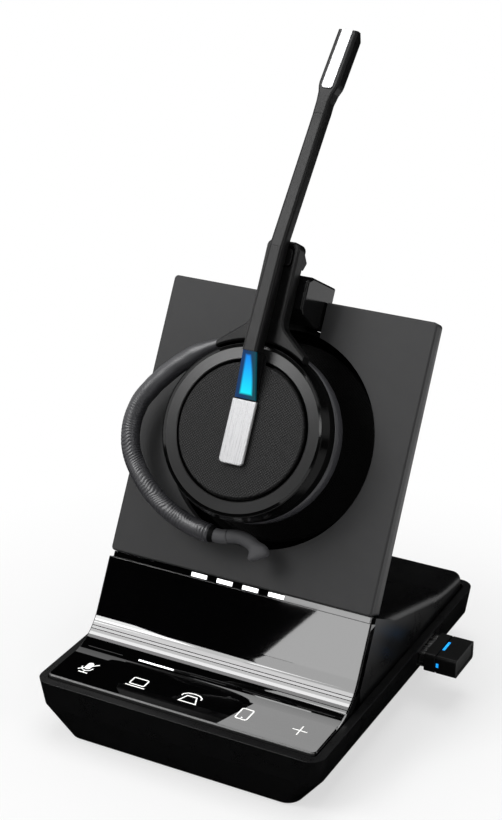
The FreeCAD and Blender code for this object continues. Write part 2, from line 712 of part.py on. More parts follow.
def top_housing():
    body = start_body("housing_shell", DESK)
    line = s.panel_back + s.panel_thick + s.fit_gap
    up = (s.housing_front - s.plate_y - line * COS) / SIN
    rear = HALF_DEPTH - s.rim_width - s.fit_gap * 2
    outer = [
        (s.housing_front, SEAT),
        (rear, SEAT),
        (rear, s.platform_height),
        (s.ridge_back, s.ridge_height),
        slope_point(-s.soft_gap, -s.plate_foot),
        slope_point(-s.soft_gap, -line),
        slope_point(up, -line),
    ]
    pad(body, draw(body, "section", "YZ", outlines=[outer]), HOUSING_HALF * 2, symmetric=True)
    half = HOUSING_HALF
    dress(body, "Fillet", s.ridge_round, lambda middle, edge:
          near(middle.y, s.ridge_back) and near(middle.z, s.ridge_height))
    dress(body, "Fillet", s.housing_round, lambda middle, edge:
          near(abs(middle.x), half) and middle.z > s.platform_height.number - 0.1
          and edge.Length > 10 and middle.y > s.housing_front.number + 12)
    dress(body, "Fillet", s.housing_round, lambda middle, edge:
          near(middle.y, rear) and near(middle.z, s.platform_height) and edge.Length > 10
          or near(middle.y, rear, 0.6) and near(abs(middle.x), half, 0.6) and edge.Length > 3)
    wall = s.housing_wall
    inner_line = line + wall * 2
    inner_up = (s.housing_front + wall - s.plate_y - inner_line * COS) / SIN
    inner = [
        (s.housing_front + wall, SEAT),
        (rear - wall, SEAT),
        (rear - wall, s.platform_height - wall),
        (s.ridge_back, s.ridge_height - wall),
        slope_point(-wall * 1.9, -inner_line),
        slope_point(inner_up, -inner_line),
    ]
    hollow = draw(body, "hollow", "YZ", outlines=[inner])
    pocket(body, hollow, (HOUSING_HALF - wall) * 2, symmetric=True)
    posts = draw(body, "posts", "XY", offset=BOARD_TOP, circles=[
        (x, y, s.boss_radius) for x, y in SCREW_PLACES])
    pad(body, posts, s.platform_height - wall / 2 - BOARD_TOP)
    pilots = draw(body, "pilot_holes", "XY", offset=BOARD_TOP, circles=[
        (x, y, s.screw_radius + 0.05) for x, y in SCREW_PLACES])
    pocket(body, pilots, s.screw_radius * 4, upward=True)
    slot_half = s.tongue_half + s.fit_gap
    back = -s.plate_foot - s.fit_gap / 2
    low = -s.tongue_drop - s.fit_gap
    slot = draw(body, "tongue_slot", "YZ", outlines=[[
        slope_point(1, back), slope_point(low, back),
        slope_point(low, back + s.tongue_thick + s.fit_gap),
        slope_point(1, back + s.tongue_thick + s.fit_gap)]])
    pocket(body, slot, slot_half * 2, symmetric=True)
    side_gap = JACK_SIDE + s.fit_gap
    power_half = s.power_radius + POWER_WALL + s.fit_gap
    notches = [rectangle(x - s.jack_width / 2 - side_gap, x + s.jack_width / 2 + side_gap,
                         SEAT - 1, JACK_TOP + s.fit_gap) for x in JACK_PLACES]
    notches.append(rectangle(s.power_x - power_half, s.power_x + power_half, SEAT - 1,
                             POWER_MID + power_half))
    rear_cuts = draw(body, "rear_notches", "XZ", offset=-HALF_DEPTH, outlines=notches)
    pocket(body, rear_cuts, s.rim_width * 4, upward=True)
    side_cut = draw(body, "usb_notch", "YZ", offset=HALF_WIDTH, outlines=[rectangle(
        s.usb_y - SOCKET_HALF - s.fit_gap, s.usb_y + SOCKET_HALF + s.fit_gap,
        SEAT - 1, USB_MID + SOCKET_RISE + s.fit_gap)])
    pocket(body, side_cut, s.rim_width * 4)
    holes = [rod(f"tongue_hole_{index}", PLATE, x, y, (-s.plate_foot * 2, -s.plate_foot),
                 TONGUE_SCREW + s.fit_gap)
             for index, (x, y) in enumerate(TONGUE_SCREWS)]
    return node(cut("top_housing", body, holes))


def main_board():
    """The board's parts stand on a grid of 19 cells to each side of its middle."""
    half = HALF_WIDTH - s.board_inset
    cell = half / 19
    sheet_of_board = box("board_sheet", DESK, (-half, half),
                         (s.board_front, HALF_DEPTH - s.board_inset),
                         (BAND_LOW, BOARD_TOP))
    holes = [rod(f"board_hole_{index}", DESK, x, y, (BAND_LOW - 1, BOARD_TOP + 1),
                 s.boss_radius + s.fit_gap)
             for index, (x, y) in enumerate(SCREW_PLACES)]
    board = cut("board_blank", sheet_of_board, holes)
    chips = [
        box("radio_can", DESK, (cell * -10, cell * -2), (cell * 4, cell * 12),
            (BOARD_TOP, BOARD_TOP + s.board_thick * 1.5)),
        box("processor", DESK, (cell * 2, cell * 7), (cell * 5, cell * 10),
            (BOARD_TOP, BOARD_TOP + s.board_thick * 0.75)),
        rod("capacitor", DESK, cell * -13, cell * 13, (BOARD_TOP, BOARD_TOP + cell * 3),
            cell * 1.5),
    ]
    return node(fuse("main_board", [board] + chips))


def side_usb_socket():
    mouth = BAND_SIDE
    start = mouth - s.usb_depth
    shell = box("socket_block", DESK, (start, mouth),
                (s.usb_y - SOCKET_HALF, s.usb_y + SOCKET_HALF),
                (USB_MID - SOCKET_RISE, USB_MID + SOCKET_RISE))
    half = s.usb_width / 2 + s.usb_gap
    rise = s.usb_height / 2 + s.usb_gap
    space = box("socket_space", DESK, (start + 1, mouth + 1),
                (s.usb_y - half, s.usb_y + half), (USB_MID - rise, USB_MID + rise))
    return node(cut("side_usb_socket", shell, [space]))


def line_sockets():
    pieces = []
    mouth = HALF_DEPTH - s.band_draft * 0.6
    for index, x in enumerate(JACK_PLACES):
        half = s.jack_width / 2
        block = box(f"jack_block_{index}", DESK, (x - half - JACK_SIDE, x + half + JACK_SIDE),
                    (mouth - s.jack_depth, mouth), (BOARD_TOP, JACK_TOP))
        low = BOARD_TOP + JACK_FLOOR
        space = box(f"jack_space_{index}", DESK, (x - half, x + half),
                    (mouth - s.jack_depth + 1.5, mouth + 1), (low, low + s.jack_height))
        pieces.append(cut(f"line_socket_{index}", block, [space]))
    return node(group("line_sockets", pieces))


def rear_usb_socket():
    mouth = REAR_INSIDE - s.fit_gap
    half = s.micro_width / 2
    block = box("micro_block", DESK, (s.micro_x - half - s.usb_wall, s.micro_x + half + s.usb_wall),
                (mouth - 6, mouth),
                (BOARD_TOP, BOARD_TOP + s.micro_height + s.usb_wall * 2))
    space = box("micro_space", DESK, (s.micro_x - half, s.micro_x + half), (mouth - 5, mouth + 1),
                (BOARD_TOP + s.usb_wall, BOARD_TOP + s.usb_wall + s.micro_height))
    return node(cut("rear_usb_socket", block, [space]))


def power_inlet():
    body = start_body("power_inlet", DESK)
    mouth = REAR_INSIDE - s.fit_gap
    half = s.power_radius + POWER_WALL
    block = draw(body, "block", "XZ", offset=-mouth, outlines=[rectangle(
        s.power_x - half, s.power_x + half, BOARD_TOP, BOARD_TOP + half * 2)])
    pad(body, block, 11)
    bore = draw(body, "bore", "XZ", offset=-mouth, circles=[(s.power_x, POWER_MID, s.power_radius)])
    pocket(body, bore, 9, upward=True)
    pin = draw(body, "pin", "XZ", offset=-mouth + 10, circles=[(s.power_x, POWER_MID, 1)])
    pad(body, pin, 10).Reversed = True
    return node(body)


# ---- the upright ---------------------------------------------------------------------------


def upright_plate():
    body = start_body("upright_plate", PLATE)
    half = s.plate_width / 2
    centre = s.hole_height
    radius = s.hole_radius
    neck = centre + root(radius * radius - s.notch_half * s.notch_half)
    corner = s.plate_corner
    top = s.plate_height
    outline = [
        (corner - half, 0, corner, 1),
        (half - corner, 0),
        (half, corner, corner, 1),
        (half, top - corner),
        (half - corner, top, corner, 1),
        (s.notch_half, top),
        (s.notch_half, neck),
        (radius, centre, radius, -1),
        (0, centre - radius, radius, -1),
        (-radius, centre, radius, -1),
        (-s.notch_half, neck, radius, -1),
        (-s.notch_half, top),
        (corner - half, top),
        (-half, top - corner, corner, 1),
        (-half, corner),
    ]
    pad(body, draw(body, "face", "XY", offset=-s.plate_front, outlines=[outline]), s.plate_front)
    dress(body, "Chamfer", 0.4, lambda middle, edge: near(middle.z, 0) and (
        near(abs(middle.x), half) or near(middle.y, 0) or near(middle.y, top)))
    return node(body)


def upright_back():
    body = start_body("upright_back", PLATE)
    top = s.plate_height
    section = [(0, -s.plate_front), (0, -s.plate_foot), (top, -s.plate_top), (top, -s.plate_front)]
    pad(body, draw(body, "section", "YZ", outlines=[section]), s.plate_width, symmetric=True)
    dress(body, "Fillet", s.plate_corner, lambda middle, edge:
          near(abs(middle.x), s.plate_width / 2) and edge.Length < s.plate_foot.number)
    tongue = draw(body, "tongue", "YZ", outlines=[[
        (1, -s.plate_foot), (1, s.tongue_thick - s.plate_foot),
        (-s.tongue_drop, s.tongue_thick - s.plate_foot), (-s.tongue_drop, -s.plate_foot)]])
    pad(body, tongue, s.tongue_half * 2, symmetric=True)
    hole = draw(body, "hole", "XY", offset=0, circles=[
        (0, s.hole_height, s.hole_radius + s.dish_wall + s.fit_gap / 2)])
    pocket(body, hole, s.plate_foot * 2)
    return node(body)


def upright_screws():
    screws = []
    back = -s.panel_back - s.panel_thick - s.fit_gap - s.housing_wall * 2
    for index, (x, y) in enumerate(TONGUE_SCREWS):
        head = rod(f"upright_head_{index}", PLATE, x, y, (back - TONGUE_SCREW * 1.4, back),
                   TONGUE_SCREW * 2)
        shank = rod(f"upright_shank_{index}", PLATE, x, y, (back, -s.plate_foot), TONGUE_SCREW)
        screws.append(fuse(f"upright_screw_{index}", [head, shank]))
    return node(group("upright_screws", screws))


def status_strip():
    half = s.plate_width / 2 - 0.5
    strip = box("status_strip", PLATE, (-half, half), (-s.panel_drop, -s.fit_gap),
                (-s.panel_back - s.panel_thick, -s.panel_back - 1.1))
    return node(strip)


def status_lenses():
    lenses = []
    for index in range(4):
        start = s.lamp_start + s.lamp_pitch * index
        lenses.append(box(f"status_lens_{index}", PLATE, (start, start + s.lamp_length),
                          (-s.panel_drop + 0.3, -s.fit_gap - 0.3),
                          (-s.panel_back - 1.1, -s.panel_back - 0.7)))
    return node(group("status_lenses", lenses))


def recess_dish():
    body = start_body("recess_dish", CUP)
    inner = s.hole_radius
    outer = inner + s.dish_wall
    floor = -s.dish_depth
    step = s.dish_round * 0.3
    profile = [
        (0, floor - s.dish_wall),
        (outer, floor - s.dish_wall),
        (outer, -s.plate_front),
        (inner, -s.plate_front),
        (inner, floor + s.mesh_thick + s.dish_round),
        (inner - step, floor + s.mesh_thick + step),
        (inner - s.dish_round, floor + s.mesh_thick),
        (s.mesh_radius + s.fit_gap, floor + s.mesh_thick),
        (s.mesh_radius + s.fit_gap, floor),
        (0, floor),
    ]
    revolve(body, draw(body, "profile", "XZ", outlines=[profile]))
    return node(body)


def recess_mesh():
    disc = rod("recess_mesh", CUP, 0, 0, (-s.dish_depth, s.mesh_thick - s.dish_depth), s.mesh_radius)
    return node(disc)


# ---- the cradle ----------------------------------------------------------------------------

CRADLE_FLOOR = s.cradle_reach - 4
PIN_PLACES = [(-s.pin_spread, s.pin_height), (s.pin_spread, s.pin_height)]


def cradle_shell():
    body = start_body("cradle_shell", PLATE)
    over = s.plate_height + s.soft_gap
    section = [
        (s.cradle_low, -s.plate_front),
        (s.cradle_low, s.cradle_reach / 3),
        (s.cradle_low + 2.3, s.cradle_reach - 1.5),
        (s.cradle_low + 3.7, s.cradle_reach),
        (s.cradle_high - 1.4, s.cradle_reach),
        (s.cradle_high, s.cradle_reach - 3),
        (s.cradle_high, -s.cradle_tail),
        (over, -s.cradle_tail),
        (over, -s.plate_front),
    ]
    pad(body, draw(body, "section", "YZ", outlines=[section]), s.cradle_half * 2, symmetric=True)
    dress(body, "Fillet", 0.7, lambda middle, edge:
          near(abs(middle.x), s.cradle_half) and middle.z > 0 or near(middle.z, s.cradle_reach)
          and edge.Length > 10)
    half = s.cradle_half - s.cradle_wall
    room = draw(body, "room", "XY", offset=-s.plate_front, outlines=[rectangle(
        -half, half, s.cradle_low + 2.4, s.plate_height - s.fit_gap)])
    pocket(body, room, CRADLE_FLOOR + s.plate_front, upward=True)
    holes = draw(body, "pin_holes", "XY", offset=s.cradle_reach + 1, circles=[
        (x, y, s.pin_radius + s.fit_gap) for x, y in PIN_PLACES])
    pocket(body, holes, 6)
    return node(body)


def cradle_magnet():
    magnet = box("cradle_magnet", PLATE, (-4, 4), (s.pin_height + 1.4, s.plate_height - 0.4),
                 (CRADLE_FLOOR - 3, CRADLE_FLOOR))
    return node(magnet)


def cradle_board():
    half = s.cradle_half - s.cradle_wall - s.fit_gap
    board = box("cradle_sheet", PLATE, (-half, half),
                (s.cradle_low + 2.4 + s.fit_gap, s.plate_height - s.fit_gap * 2), (2, 3))
    barrels = [rod(f"pin_barrel_{index}", PLATE, x, y, (3, 7), s.pin_radius + 0.5)
               for index, (x, y) in enumerate(PIN_PLACES)]
    bores = [rod(f"pin_bore_{index}", PLATE, x, y, (4, 8), s.pin_radius + s.fit_gap / 2)
             for index, (x, y) in enumerate(PIN_PLACES)]
    return node(cut("cradle_board", fuse("cradle_board_blank", [board] + barrels), bores))


def contact_pins():
    pins = [rod(f"contact_pin_{index}", PLATE, x, y, (5, s.cradle_reach + s.pin_proud),
                s.pin_radius)
            for index, (x, y) in enumerate(PIN_PLACES)]
    return node(group("contact_pins", pins))


# ---- the ear cup ---------------------------------------------------------------------------


def cup_housing():
    body = start_body("cup_housing", CUP)
    profile = [
        (s.shaft_radius + s.soft_gap, s.cup_floor),
        (s.cup_radius - s.cup_wall, s.cup_floor),
        (s.cup_radius - s.cup_wall, s.cup_back),
        (s.cup_radius, s.cup_back),
        (s.cup_radius, s.band_front),
        (s.ring_outer + 0.3, s.cup_face),
        (s.ring_outer + 0.1, s.cup_face),
        (s.ring_outer + 0.1, s.ring_seat),
        (s.shaft_radius + s.soft_gap, s.ring_seat),
    ]
    revolve(body, draw(body, "profile", "XZ", outlines=[profile]))
    return node(body)


def cup_ring():
    body = start_body("cup_ring", CUP)
    profile = [
        (s.ring_inner, s.ring_seat),
        (s.ring_outer, s.ring_seat),
        (s.ring_outer, s.cup_face),
        (s.ring_inner + 0.8, s.cup_face),
        (s.ring_inner, s.cup_face - 0.8),
    ]
    revolve(body, draw(body, "profile", "XZ", outlines=[profile]))
    return node(body)


def speaker_baffle():
    body = start_body("speaker_baffle", CUP)
    top = s.cup_back
    disc = draw(body, "disc", "XY", offset=top - s.baffle_thick, circles=[
        (0, 0, s.cup_radius - 0.4)])
    pad(body, disc, s.baffle_thick)
    ring_of_holes = [(0, 0, 1.2)]
    for count, distance in ((6, 4), (12, 8)):
        for step in range(count):
            angle = 2 * math.pi * step / count
            ring_of_holes.append((distance * math.cos(angle), distance * math.sin(angle), 1.2))
    holes = draw(body, "sound_holes", "XY", offset=top, circles=ring_of_holes)
    pocket(body, holes, s.baffle_thick * 2)
    return node(body)


def speaker_driver():
    body = start_body("speaker_driver", CUP)
    profile = [
        (0, s.cup_back + 0.6),
        (s.driver_radius - 3, s.cup_back + 0.6),
        (s.driver_radius - 2, s.cup_back),
        (s.driver_radius, s.cup_back),
        (s.driver_radius, s.cup_back + 1),
        (s.driver_radius - 5, s.cup_back + s.driver_depth),
        (0, s.cup_back + s.driver_depth),
    ]
    revolve(body, draw(body, "profile", "XZ", outlines=[profile]))
    return node(body)


def headset_board():
    outer = rod("headset_board_disc", CUP, 0, 0, (s.cup_back, s.cup_back + 1),
                s.cup_radius - s.cup_wall - s.fit_gap)
    inner = rod("headset_board_hole", CUP, 0, 0, (s.cup_back - 1, s.cup_back + 2),
                s.driver_radius + s.fit_gap)
    return node(cut("headset_board", outer, [inner]))


PAD_FRONT = s.cup_back - s.baffle_thick


def ear_pad():
    body = start_body("ear_pad", CUP)
    outer = s.cup_radius
    thick = PAD_FRONT - s.pad_back
    slant = thick * 0.45
    step = slant * 0.3
    profile = [
        (s.pad_inner, s.pad_back + slant),
        (s.pad_inner + step, s.pad_back + step),
        (s.pad_inner + slant, s.pad_back),
        (outer - slant, s.pad_back),
        (outer - step, s.pad_back + step),
        (outer, s.pad_back + slant),
        (outer, PAD_FRONT - step),
        (outer - step, PAD_FRONT),
        (s.pad_inner, PAD_FRONT),
    ]
    revolve(body, draw(body, "profile", "XZ", outlines=[profile]))
    return node(body)


def speaker_screen():
    screen = rod("speaker_screen", CUP, 0, 0, (PAD_FRONT - 0.6, PAD_FRONT),
                 s.pad_inner - s.soft_gap)
    return node(screen)


# ---- the stem ------------------------------------------------------------------------------


def stem_housing():
    body = start_body("stem_housing", PLATE)
    outline = draw(body, "outline", "XY", offset=s.stem_split, outlines=[closed_stem()])
    pad(body, outline, s.stem_front - s.stem_split)
    dress(body, "Chamfer", 0.5, lambda middle, edge: near(middle.z, s.stem_front)
          and middle.y > s.flare_low.number + 1)
    half = s.stem_half - s.stem_wall
    room = draw(body, "room", "XY", offset=s.stem_split, outlines=[rounded(
        -half, half, s.hole_height + s.cup_radius + s.stem_wall * 2, s.stem_top - s.stem_wall, 0.3)])
    pocket(body, room, s.stem_front - s.stem_split - s.stem_wall, upward=True)
    rim = s.stem_half - s.stem_rim
    face = draw(body, "face_recess", "XY", offset=s.stem_front, outlines=[rounded(
        -rim, rim, s.flare_high + 1, s.stem_top - s.stem_rim, s.stem_rim * 1.3)])
    pocket(body, face, s.stem_wall / 2)
    gap = s.fit_gap
    key = draw(body, "key_hole", "XY", offset=s.stem_front, outlines=[rounded(
        -s.stem_key_half - gap, s.stem_key_half + gap, s.stem_key_low - gap,
        s.stem_key_high + gap, s.stem_rim)])
    pocket(body, key, s.stem_wall * 2)
    return node(body)


def closed_stem():
    """Outline of the stem: straight sides, round top, flared foot that fits the cup's band."""
    radius = s.cup_radius
    low = s.hole_height + root(radius * radius - s.flare_half * s.flare_half)
    drop = s.flare_high - s.flare_low
    spread = s.flare_half - s.stem_half
    slant = root(drop * drop + spread * spread)
    run = s.flare_bend * (slant - drop) / spread
    out = s.stem_half + run * spread / slant
    down = s.flare_high - run * drop / slant
    corner = s.stem_half / 2.6
    return [
        (s.flare_half, s.flare_low),
        (out, down),
        (s.stem_half, s.flare_high + run, s.flare_bend, -1),
        (s.stem_half, s.stem_top - corner),
        (s.stem_half - corner, s.stem_top, corner, 1),
        (corner - s.stem_half, s.stem_top),
        (-s.stem_half, s.stem_top - corner, corner, 1),
        (-s.stem_half, s.flare_high + run),
        (-out, down, s.flare_bend, -1),
        (-s.flare_half, s.flare_low),
        (-s.flare_half, low),
        (s.flare_half, low, radius, -1),
    ]


def stem_back():
    body = start_body("stem_back", PLATE)
    outline = draw(body, "outline", "XY", offset=s.stem_back, outlines=[closed_stem()])
    pad(body, outline, s.stem_split - s.stem_back)
    low = s.cradle_high + s.latch_clear
    latch = draw(body, "latch", "YZ", outlines=[[
        (low, s.stem_back + s.fit_gap),
        (low, s.stem_back - s.latch_proud * 0.6),
        (low + s.latch_rise, s.stem_back - s.latch_proud),
        (s.stem_top - s.stem_rim, s.stem_back + s.fit_gap)]])
    pad(body, latch, (s.stem_half - s.stem_rim / 2) * 2, symmetric=True)
    seats = draw(body, "contact_seats", "XY", offset=s.stem_back, circles=[
        (x, y, s.pin_radius * 2) for x, y in PIN_PLACES])
    pocket(body, seats, 0.5, upward=True)
    return node(body)


def charge_contacts():
    contacts = [rod(f"charge_contact_{index}", PLATE, x, y, (s.stem_back, s.stem_back + 0.5),
                    s.pin_radius * 2)
                for index, (x, y) in enumerate(PIN_PLACES)]
    return node(group("charge_contacts", contacts))


def stem_battery():
    half = s.stem_half - s.stem_wall - s.fit_gap
    cell = box("stem_battery", PLATE, (-half, half),
               (s.hole_height + s.cup_radius + s.stem_wall * 2 + s.fit_gap, s.stem_key_low - 1.5),
               (s.stem_split + 0.7, s.stem_front - s.stem_wall - s.fit_gap))
    return node(cell)


def stem_magnet_plate():
    plate = box("stem_magnet_plate", PLATE, (-4, 4), (s.pin_height + 1.4, s.stem_key_low - 1.5),
                (s.stem_split, s.stem_split + 0.7))
    return node(plate)


def key_switch():
    switch = box("key_switch", PLATE, (-2, 2), (s.stem_key_low + 0.5, s.stem_key_high - 0.5),
                 (s.stem_split, s.stem_front - s.stem_wall * 2 - 0.4))
    return node(switch)


def stem_button():
    body = start_body("stem_button", PLATE)
    cap = draw(body, "cap", "XY", offset=s.stem_front - s.stem_wall * 2, outlines=[rounded(
        -s.stem_key_half, s.stem_key_half, s.stem_key_low, s.stem_key_high, s.stem_rim)])
    pad(body, cap, s.stem_wall * 2 + 0.1)
    dress(body, "Fillet", 0.3, lambda middle, edge: near(middle.z, s.stem_front + 0.1))
    return node(body)


# ---- the ear hook --------------------------------------------------------------------------


def hook_pivot():
    low = s.wire_height - 2.4
    lug = box("hook_lug", PLATE, (s.wire_end - 4, s.wire_end + 0.4), (low, s.wire_height + 1.6),
              (s.hook_plane - 1.6, s.stem_back))
    clear = rod("hook_lug_clear", CUP, 0, 0, (0, s.stem_back + 2), s.cup_radius + s.soft_gap)
    bore = box("hook_bore", PLATE, (s.wire_end - 5, s.wire_end + 1),
               (s.wire_height - s.wire_radius - 0.1, s.wire_height + s.wire_radius + 0.1),
               (s.hook_plane - s.wire_radius - 0.1, s.hook_plane + s.wire_radius + 0.1))
    return node(cut("hook_pivot", lug, [clear, bore]))


class Route:
    """A flat route of straights and tangent bends, as edges in the hook's plane."""

    def __init__(self, x, y, heading):
        self.place = FreeCAD.Vector(x.number, y.number, s.hook_plane.number)
        self.heading = math.radians(heading)

    def ahead(self):
        return FreeCAD.Vector(math.cos(self.heading), math.sin(self.heading), 0)

    def straight(self, length):
        start = self.place
        self.place = start + self.ahead() * length
        return Part.LineSegment(start, self.place).toShape()

    def bend(self, radius, degrees):
        """Turn by degrees; positive is to the left."""
        start = self.place
        side = 1 if degrees > 0 else -1
        centre = start + FreeCAD.Vector(-self.ahead().y, self.ahead().x, 0) * radius * side
        turn = math.radians(degrees)
        spoke = start - centre
        lift = FreeCAD.Vector(0, 0, 1)
        middle = centre + FreeCAD.Rotation(lift, degrees / 2).multVec(spoke)
        self.place = centre + FreeCAD.Rotation(lift, degrees).multVec(spoke)
        self.heading += turn
        return Part.Arc(start, middle, self.place).toShape()


def swept(edges, start_radius, end_radius):
    """Round bar along connected edges, from one radius to another."""
    path = Part.Wire(edges)
    shell = Part.BRepOffsetAPI.MakePipeShell(path)
    for edge, at, radius in ((edges[0], edges[0].FirstParameter, start_radius),
                             (edges[-1], edges[-1].LastParameter, end_radius)):
        circle = Part.Circle(edge.valueAt(at), edge.tangentAt(at), radius)
        shell.add(Part.Wire([circle.toShape()]), False, True)
    shell.build()
    shell.makeSolid()
    return shell.shape()


def shaped(label, shape):
    """A piece of the ear hook, whose curves Part's own functions make."""
    thing = doc.addObject("Part::Feature", label)
    thing.Shape = shape
    place(thing, PLATE)
    return node(thing)


TAPER_TURN = 12
WIRE_INSET = 3


def ear_hook():
    """Wire, padded sleeve, collar and rubber end, one after the other along one route."""
    full = s.sleeve_radius.number
    wire = s.wire_radius.number
    brow = s.brow_bend.number
    route = Route(s.wire_end, s.wire_height, 180)
    bare = [route.straight(s.wire_run.number), route.bend(s.wire_bend.number, s.wire_angle.number)]
    inside = Route(formula(route.place.x), formula(route.place.y), math.degrees(route.heading))
    hidden = [inside.bend(brow, WIRE_INSET)]
    shaped("hook_wire", swept(bare + hidden, wire, wire))
    taper = swept([route.bend(brow, TAPER_TURN)], s.sleeve_thin.number, full)
    tube = swept([
        route.bend(brow, s.brow_angle.number - TAPER_TURN),
        route.bend(s.back_bend.number, s.back_angle.number),
        route.bend(s.low_bend.number, s.low_angle.number),
    ], full, full)
    bore = swept(hidden, wire + 0.05, wire + 0.05)
    shaped("hook_sleeve", taper.fuse(tube).removeSplitter().cut(bore))
    collar = [route.straight(s.collar_length.number)]
    shaped("hook_collar", swept(collar, full * 0.9, full * 0.8))
    round_end = s.tip_radius.number
    bend = s.neck_bend.number
    turn = s.neck_angle.number
    neck = swept([route.bend(bend, turn * 0.85)], round_end * 1.05, round_end)
    groove = swept([route.bend(bend, turn * 0.15)], round_end * 0.85, round_end * 0.85)
    tube = swept([route.bend(s.tip_bend.number, -s.tip_angle.number)], round_end * 0.95,
                 round_end * 1.1)
    shaped("hook_tip", neck.fuse([groove, tube, hook_foot(route)]))


def hook_foot(route):
    """Small rounded paddle at the rubber end."""
    long = s.tip_radius.number * 3.2
    deep = s.tip_radius.number * 2.2
    thick = s.tip_radius.number * 2.3
    block = Part.makeBox(long, deep, thick, FreeCAD.Vector(-long / 2, -deep * 0.3, -thick / 2))
    block = block.makeChamfer(s.tip_radius.number * 0.3, block.Edges)
    turn = math.degrees(route.heading) - 90
    block.Placement = FreeCAD.Placement(route.place, FreeCAD.Rotation(0, 0, 0))
    block.rotate(route.place, FreeCAD.Vector(0, 0, 1), turn)
    return block


# ---- the boom ------------------------------------------------------------------------------


def boom_disc():
    body = start_body("boom_disc", CUP)
    profile = [
        (0, s.shaft_end),
        (s.shaft_radius, s.shaft_end),
        (s.shaft_radius, s.ring_seat + s.soft_gap),
        (s.disc_radius, s.ring_seat + s.soft_gap),
        (s.disc_radius, s.disc_face - 0.3),
        (s.disc_radius - 0.3, s.disc_face),
        (0, s.disc_face),
    ]
    revolve(body, draw(body, "profile", "XZ", outlines=[profile]))
    return node(body)


def hub_clip():
    outer = rod("clip_disc", CUP, 0, 0, (s.shaft_end + 0.1, s.shaft_end + 0.6),
                s.shaft_radius + 1.6)
    hole = rod("clip_hole", CUP, 0, 0, (s.shaft_end - 1, s.shaft_end + 2), s.shaft_radius)
    return node(cut("hub_clip", outer, [hole]))


def cross_section(body, name, along, width, back, front, round_off):
    """Rounded section across the boom at a distance along it."""
    half = formula(width) / 2
    return draw(body, name, "XZ", offset=-formula(along),
                outlines=[rounded(-half, half, back, front, round_off)])


def boom_neck():
    body = start_body("boom_neck", CUP)
    low = s.disc_face
    foot = draw(body, "foot", "XY", offset=low, outlines=[rounded(
        0.5 - s.key_width / 2, s.key_width / 2 - 0.5, s.key_low + 0.5, s.boom_start, 0.8)])
    pad(body, foot, 0.4)
    ramp = [cross_section(body, "ramp_foot", s.key_high + 0.4, s.lens_foot - 0.4, low,
                          s.key_face - 0.9, 0.2),
            cross_section(body, "ramp_top", s.boom_start, s.lens_top - 0.2, low,
                          s.boom_front - 1.4, 0.2)]
    loft(body, ramp, "ramp")
    hole = draw(body, "key_hole", "XY", offset=low + 0.4, circles=[(0, -1, 1.6)])
    pocket(body, hole, 0.4)
    return node(body)


def status_lens():
    body = start_body("status_lens", CUP)
    sections = [cross_section(body, "foot", s.key_high + 0.4, s.lens_foot, s.key_face - 0.9,
                              s.key_face, 0.2),
                cross_section(body, "top", s.boom_start, s.lens_top, s.boom_front - 1.4,
                              s.boom_front - 0.5, 0.2)]
    loft(body, sections, "slope")
    return node(body)


def call_button():
    body = start_body("call_button", CUP)
    half = s.key_width / 2
    bottom = s.key_face - s.key_thick
    turn = half / 3
    plate = draw(body, "plate", "XY", offset=bottom, outlines=[[
        (half, s.key_low + turn, turn, 1), (half, s.key_high), (-half, s.key_high),
        (-half, s.key_low + turn), (turn - half, s.key_low, turn, 1), (half - turn, s.key_low)]])
    pad(body, plate, s.key_thick)
    dress(body, "Fillet", 0.25, lambda middle, edge: near(middle.z, s.key_face))
    post = draw(body, "post", "XY", offset=s.disc_face + 0.3, circles=[(0, -1, 1.4)])
    pad(body, post, bottom - s.disc_face - 0.2)
    return node(body)


def boom_lower():
    body = start_body("boom_lower", CUP)
    sections = [cross_section(body, "foot", s.boom_start, s.boom_wide, s.boom_back,
                              s.boom_front, 1),
                cross_section(body, "joint", s.boom_joint, s.arm_wide, s.joint_back,
                              s.joint_front, 1)]
    loft(body, sections, "lower")
    return node(body)


def boom_arm():
    body = start_body("boom_arm", CUP)
    sections = [cross_section(body, "foot", s.boom_joint, s.arm_wide, s.joint_back,
                              s.joint_front, 1),
                cross_section(body, "top", s.arm_top, s.arm_thin, s.arm_top_front - s.arm_deep,
                              s.arm_top_front, 1)]
    loft(body, sections, "arm")
    return node(body)


def mic_head():
    body = start_body("mic_head", CUP)
    fall = (s.head_front - s.head_tip_front) / (s.head_tip - s.head_start)
    stages = [(s.arm_top, s.arm_thin, s.arm_top_front, s.arm_deep)]
    for part, share in ((0, 0), (0.5, 0.35), (0.8, 0.85), (1, 1)):
        along = s.head_start - s.head_shoulder * (1 - part)
        width = s.arm_thin + (s.head_wide - s.arm_thin) * share
        front = s.head_front + fall * (s.head_start - along) * 0.8
        stages.append((along, width, front, s.arm_deep + (s.head_deep - s.arm_deep) * share))
    stages.append((s.head_tip - s.head_slant, s.head_wide,
                   s.head_tip_front + fall * s.head_slant, s.head_deep))
    stages.append((s.head_tip, s.head_wide, s.head_tip_front, s.head_deep - s.head_slant))
    sections = [cross_section(body, f"stage_{index}", along, width, front - deep, front, 0.9)
                for index, (along, width, front, deep) in enumerate(stages)]
    loft(body, sections, "head")
    mouth = draw(body, "capsule_hole", "XY", circles=[(0, s.head_tip - 8, 2)])
    pocket(body, mouth, s.head_tip_front - s.head_deep + 4, upward=True)
    return node(body)


def mic_capsule():
    back = s.head_tip_front - s.head_deep + 2.6
    capsule = rod("mic_capsule", CUP, 0, s.head_tip - 8, (back, back + 1.4), 1.9)
    return node(capsule)


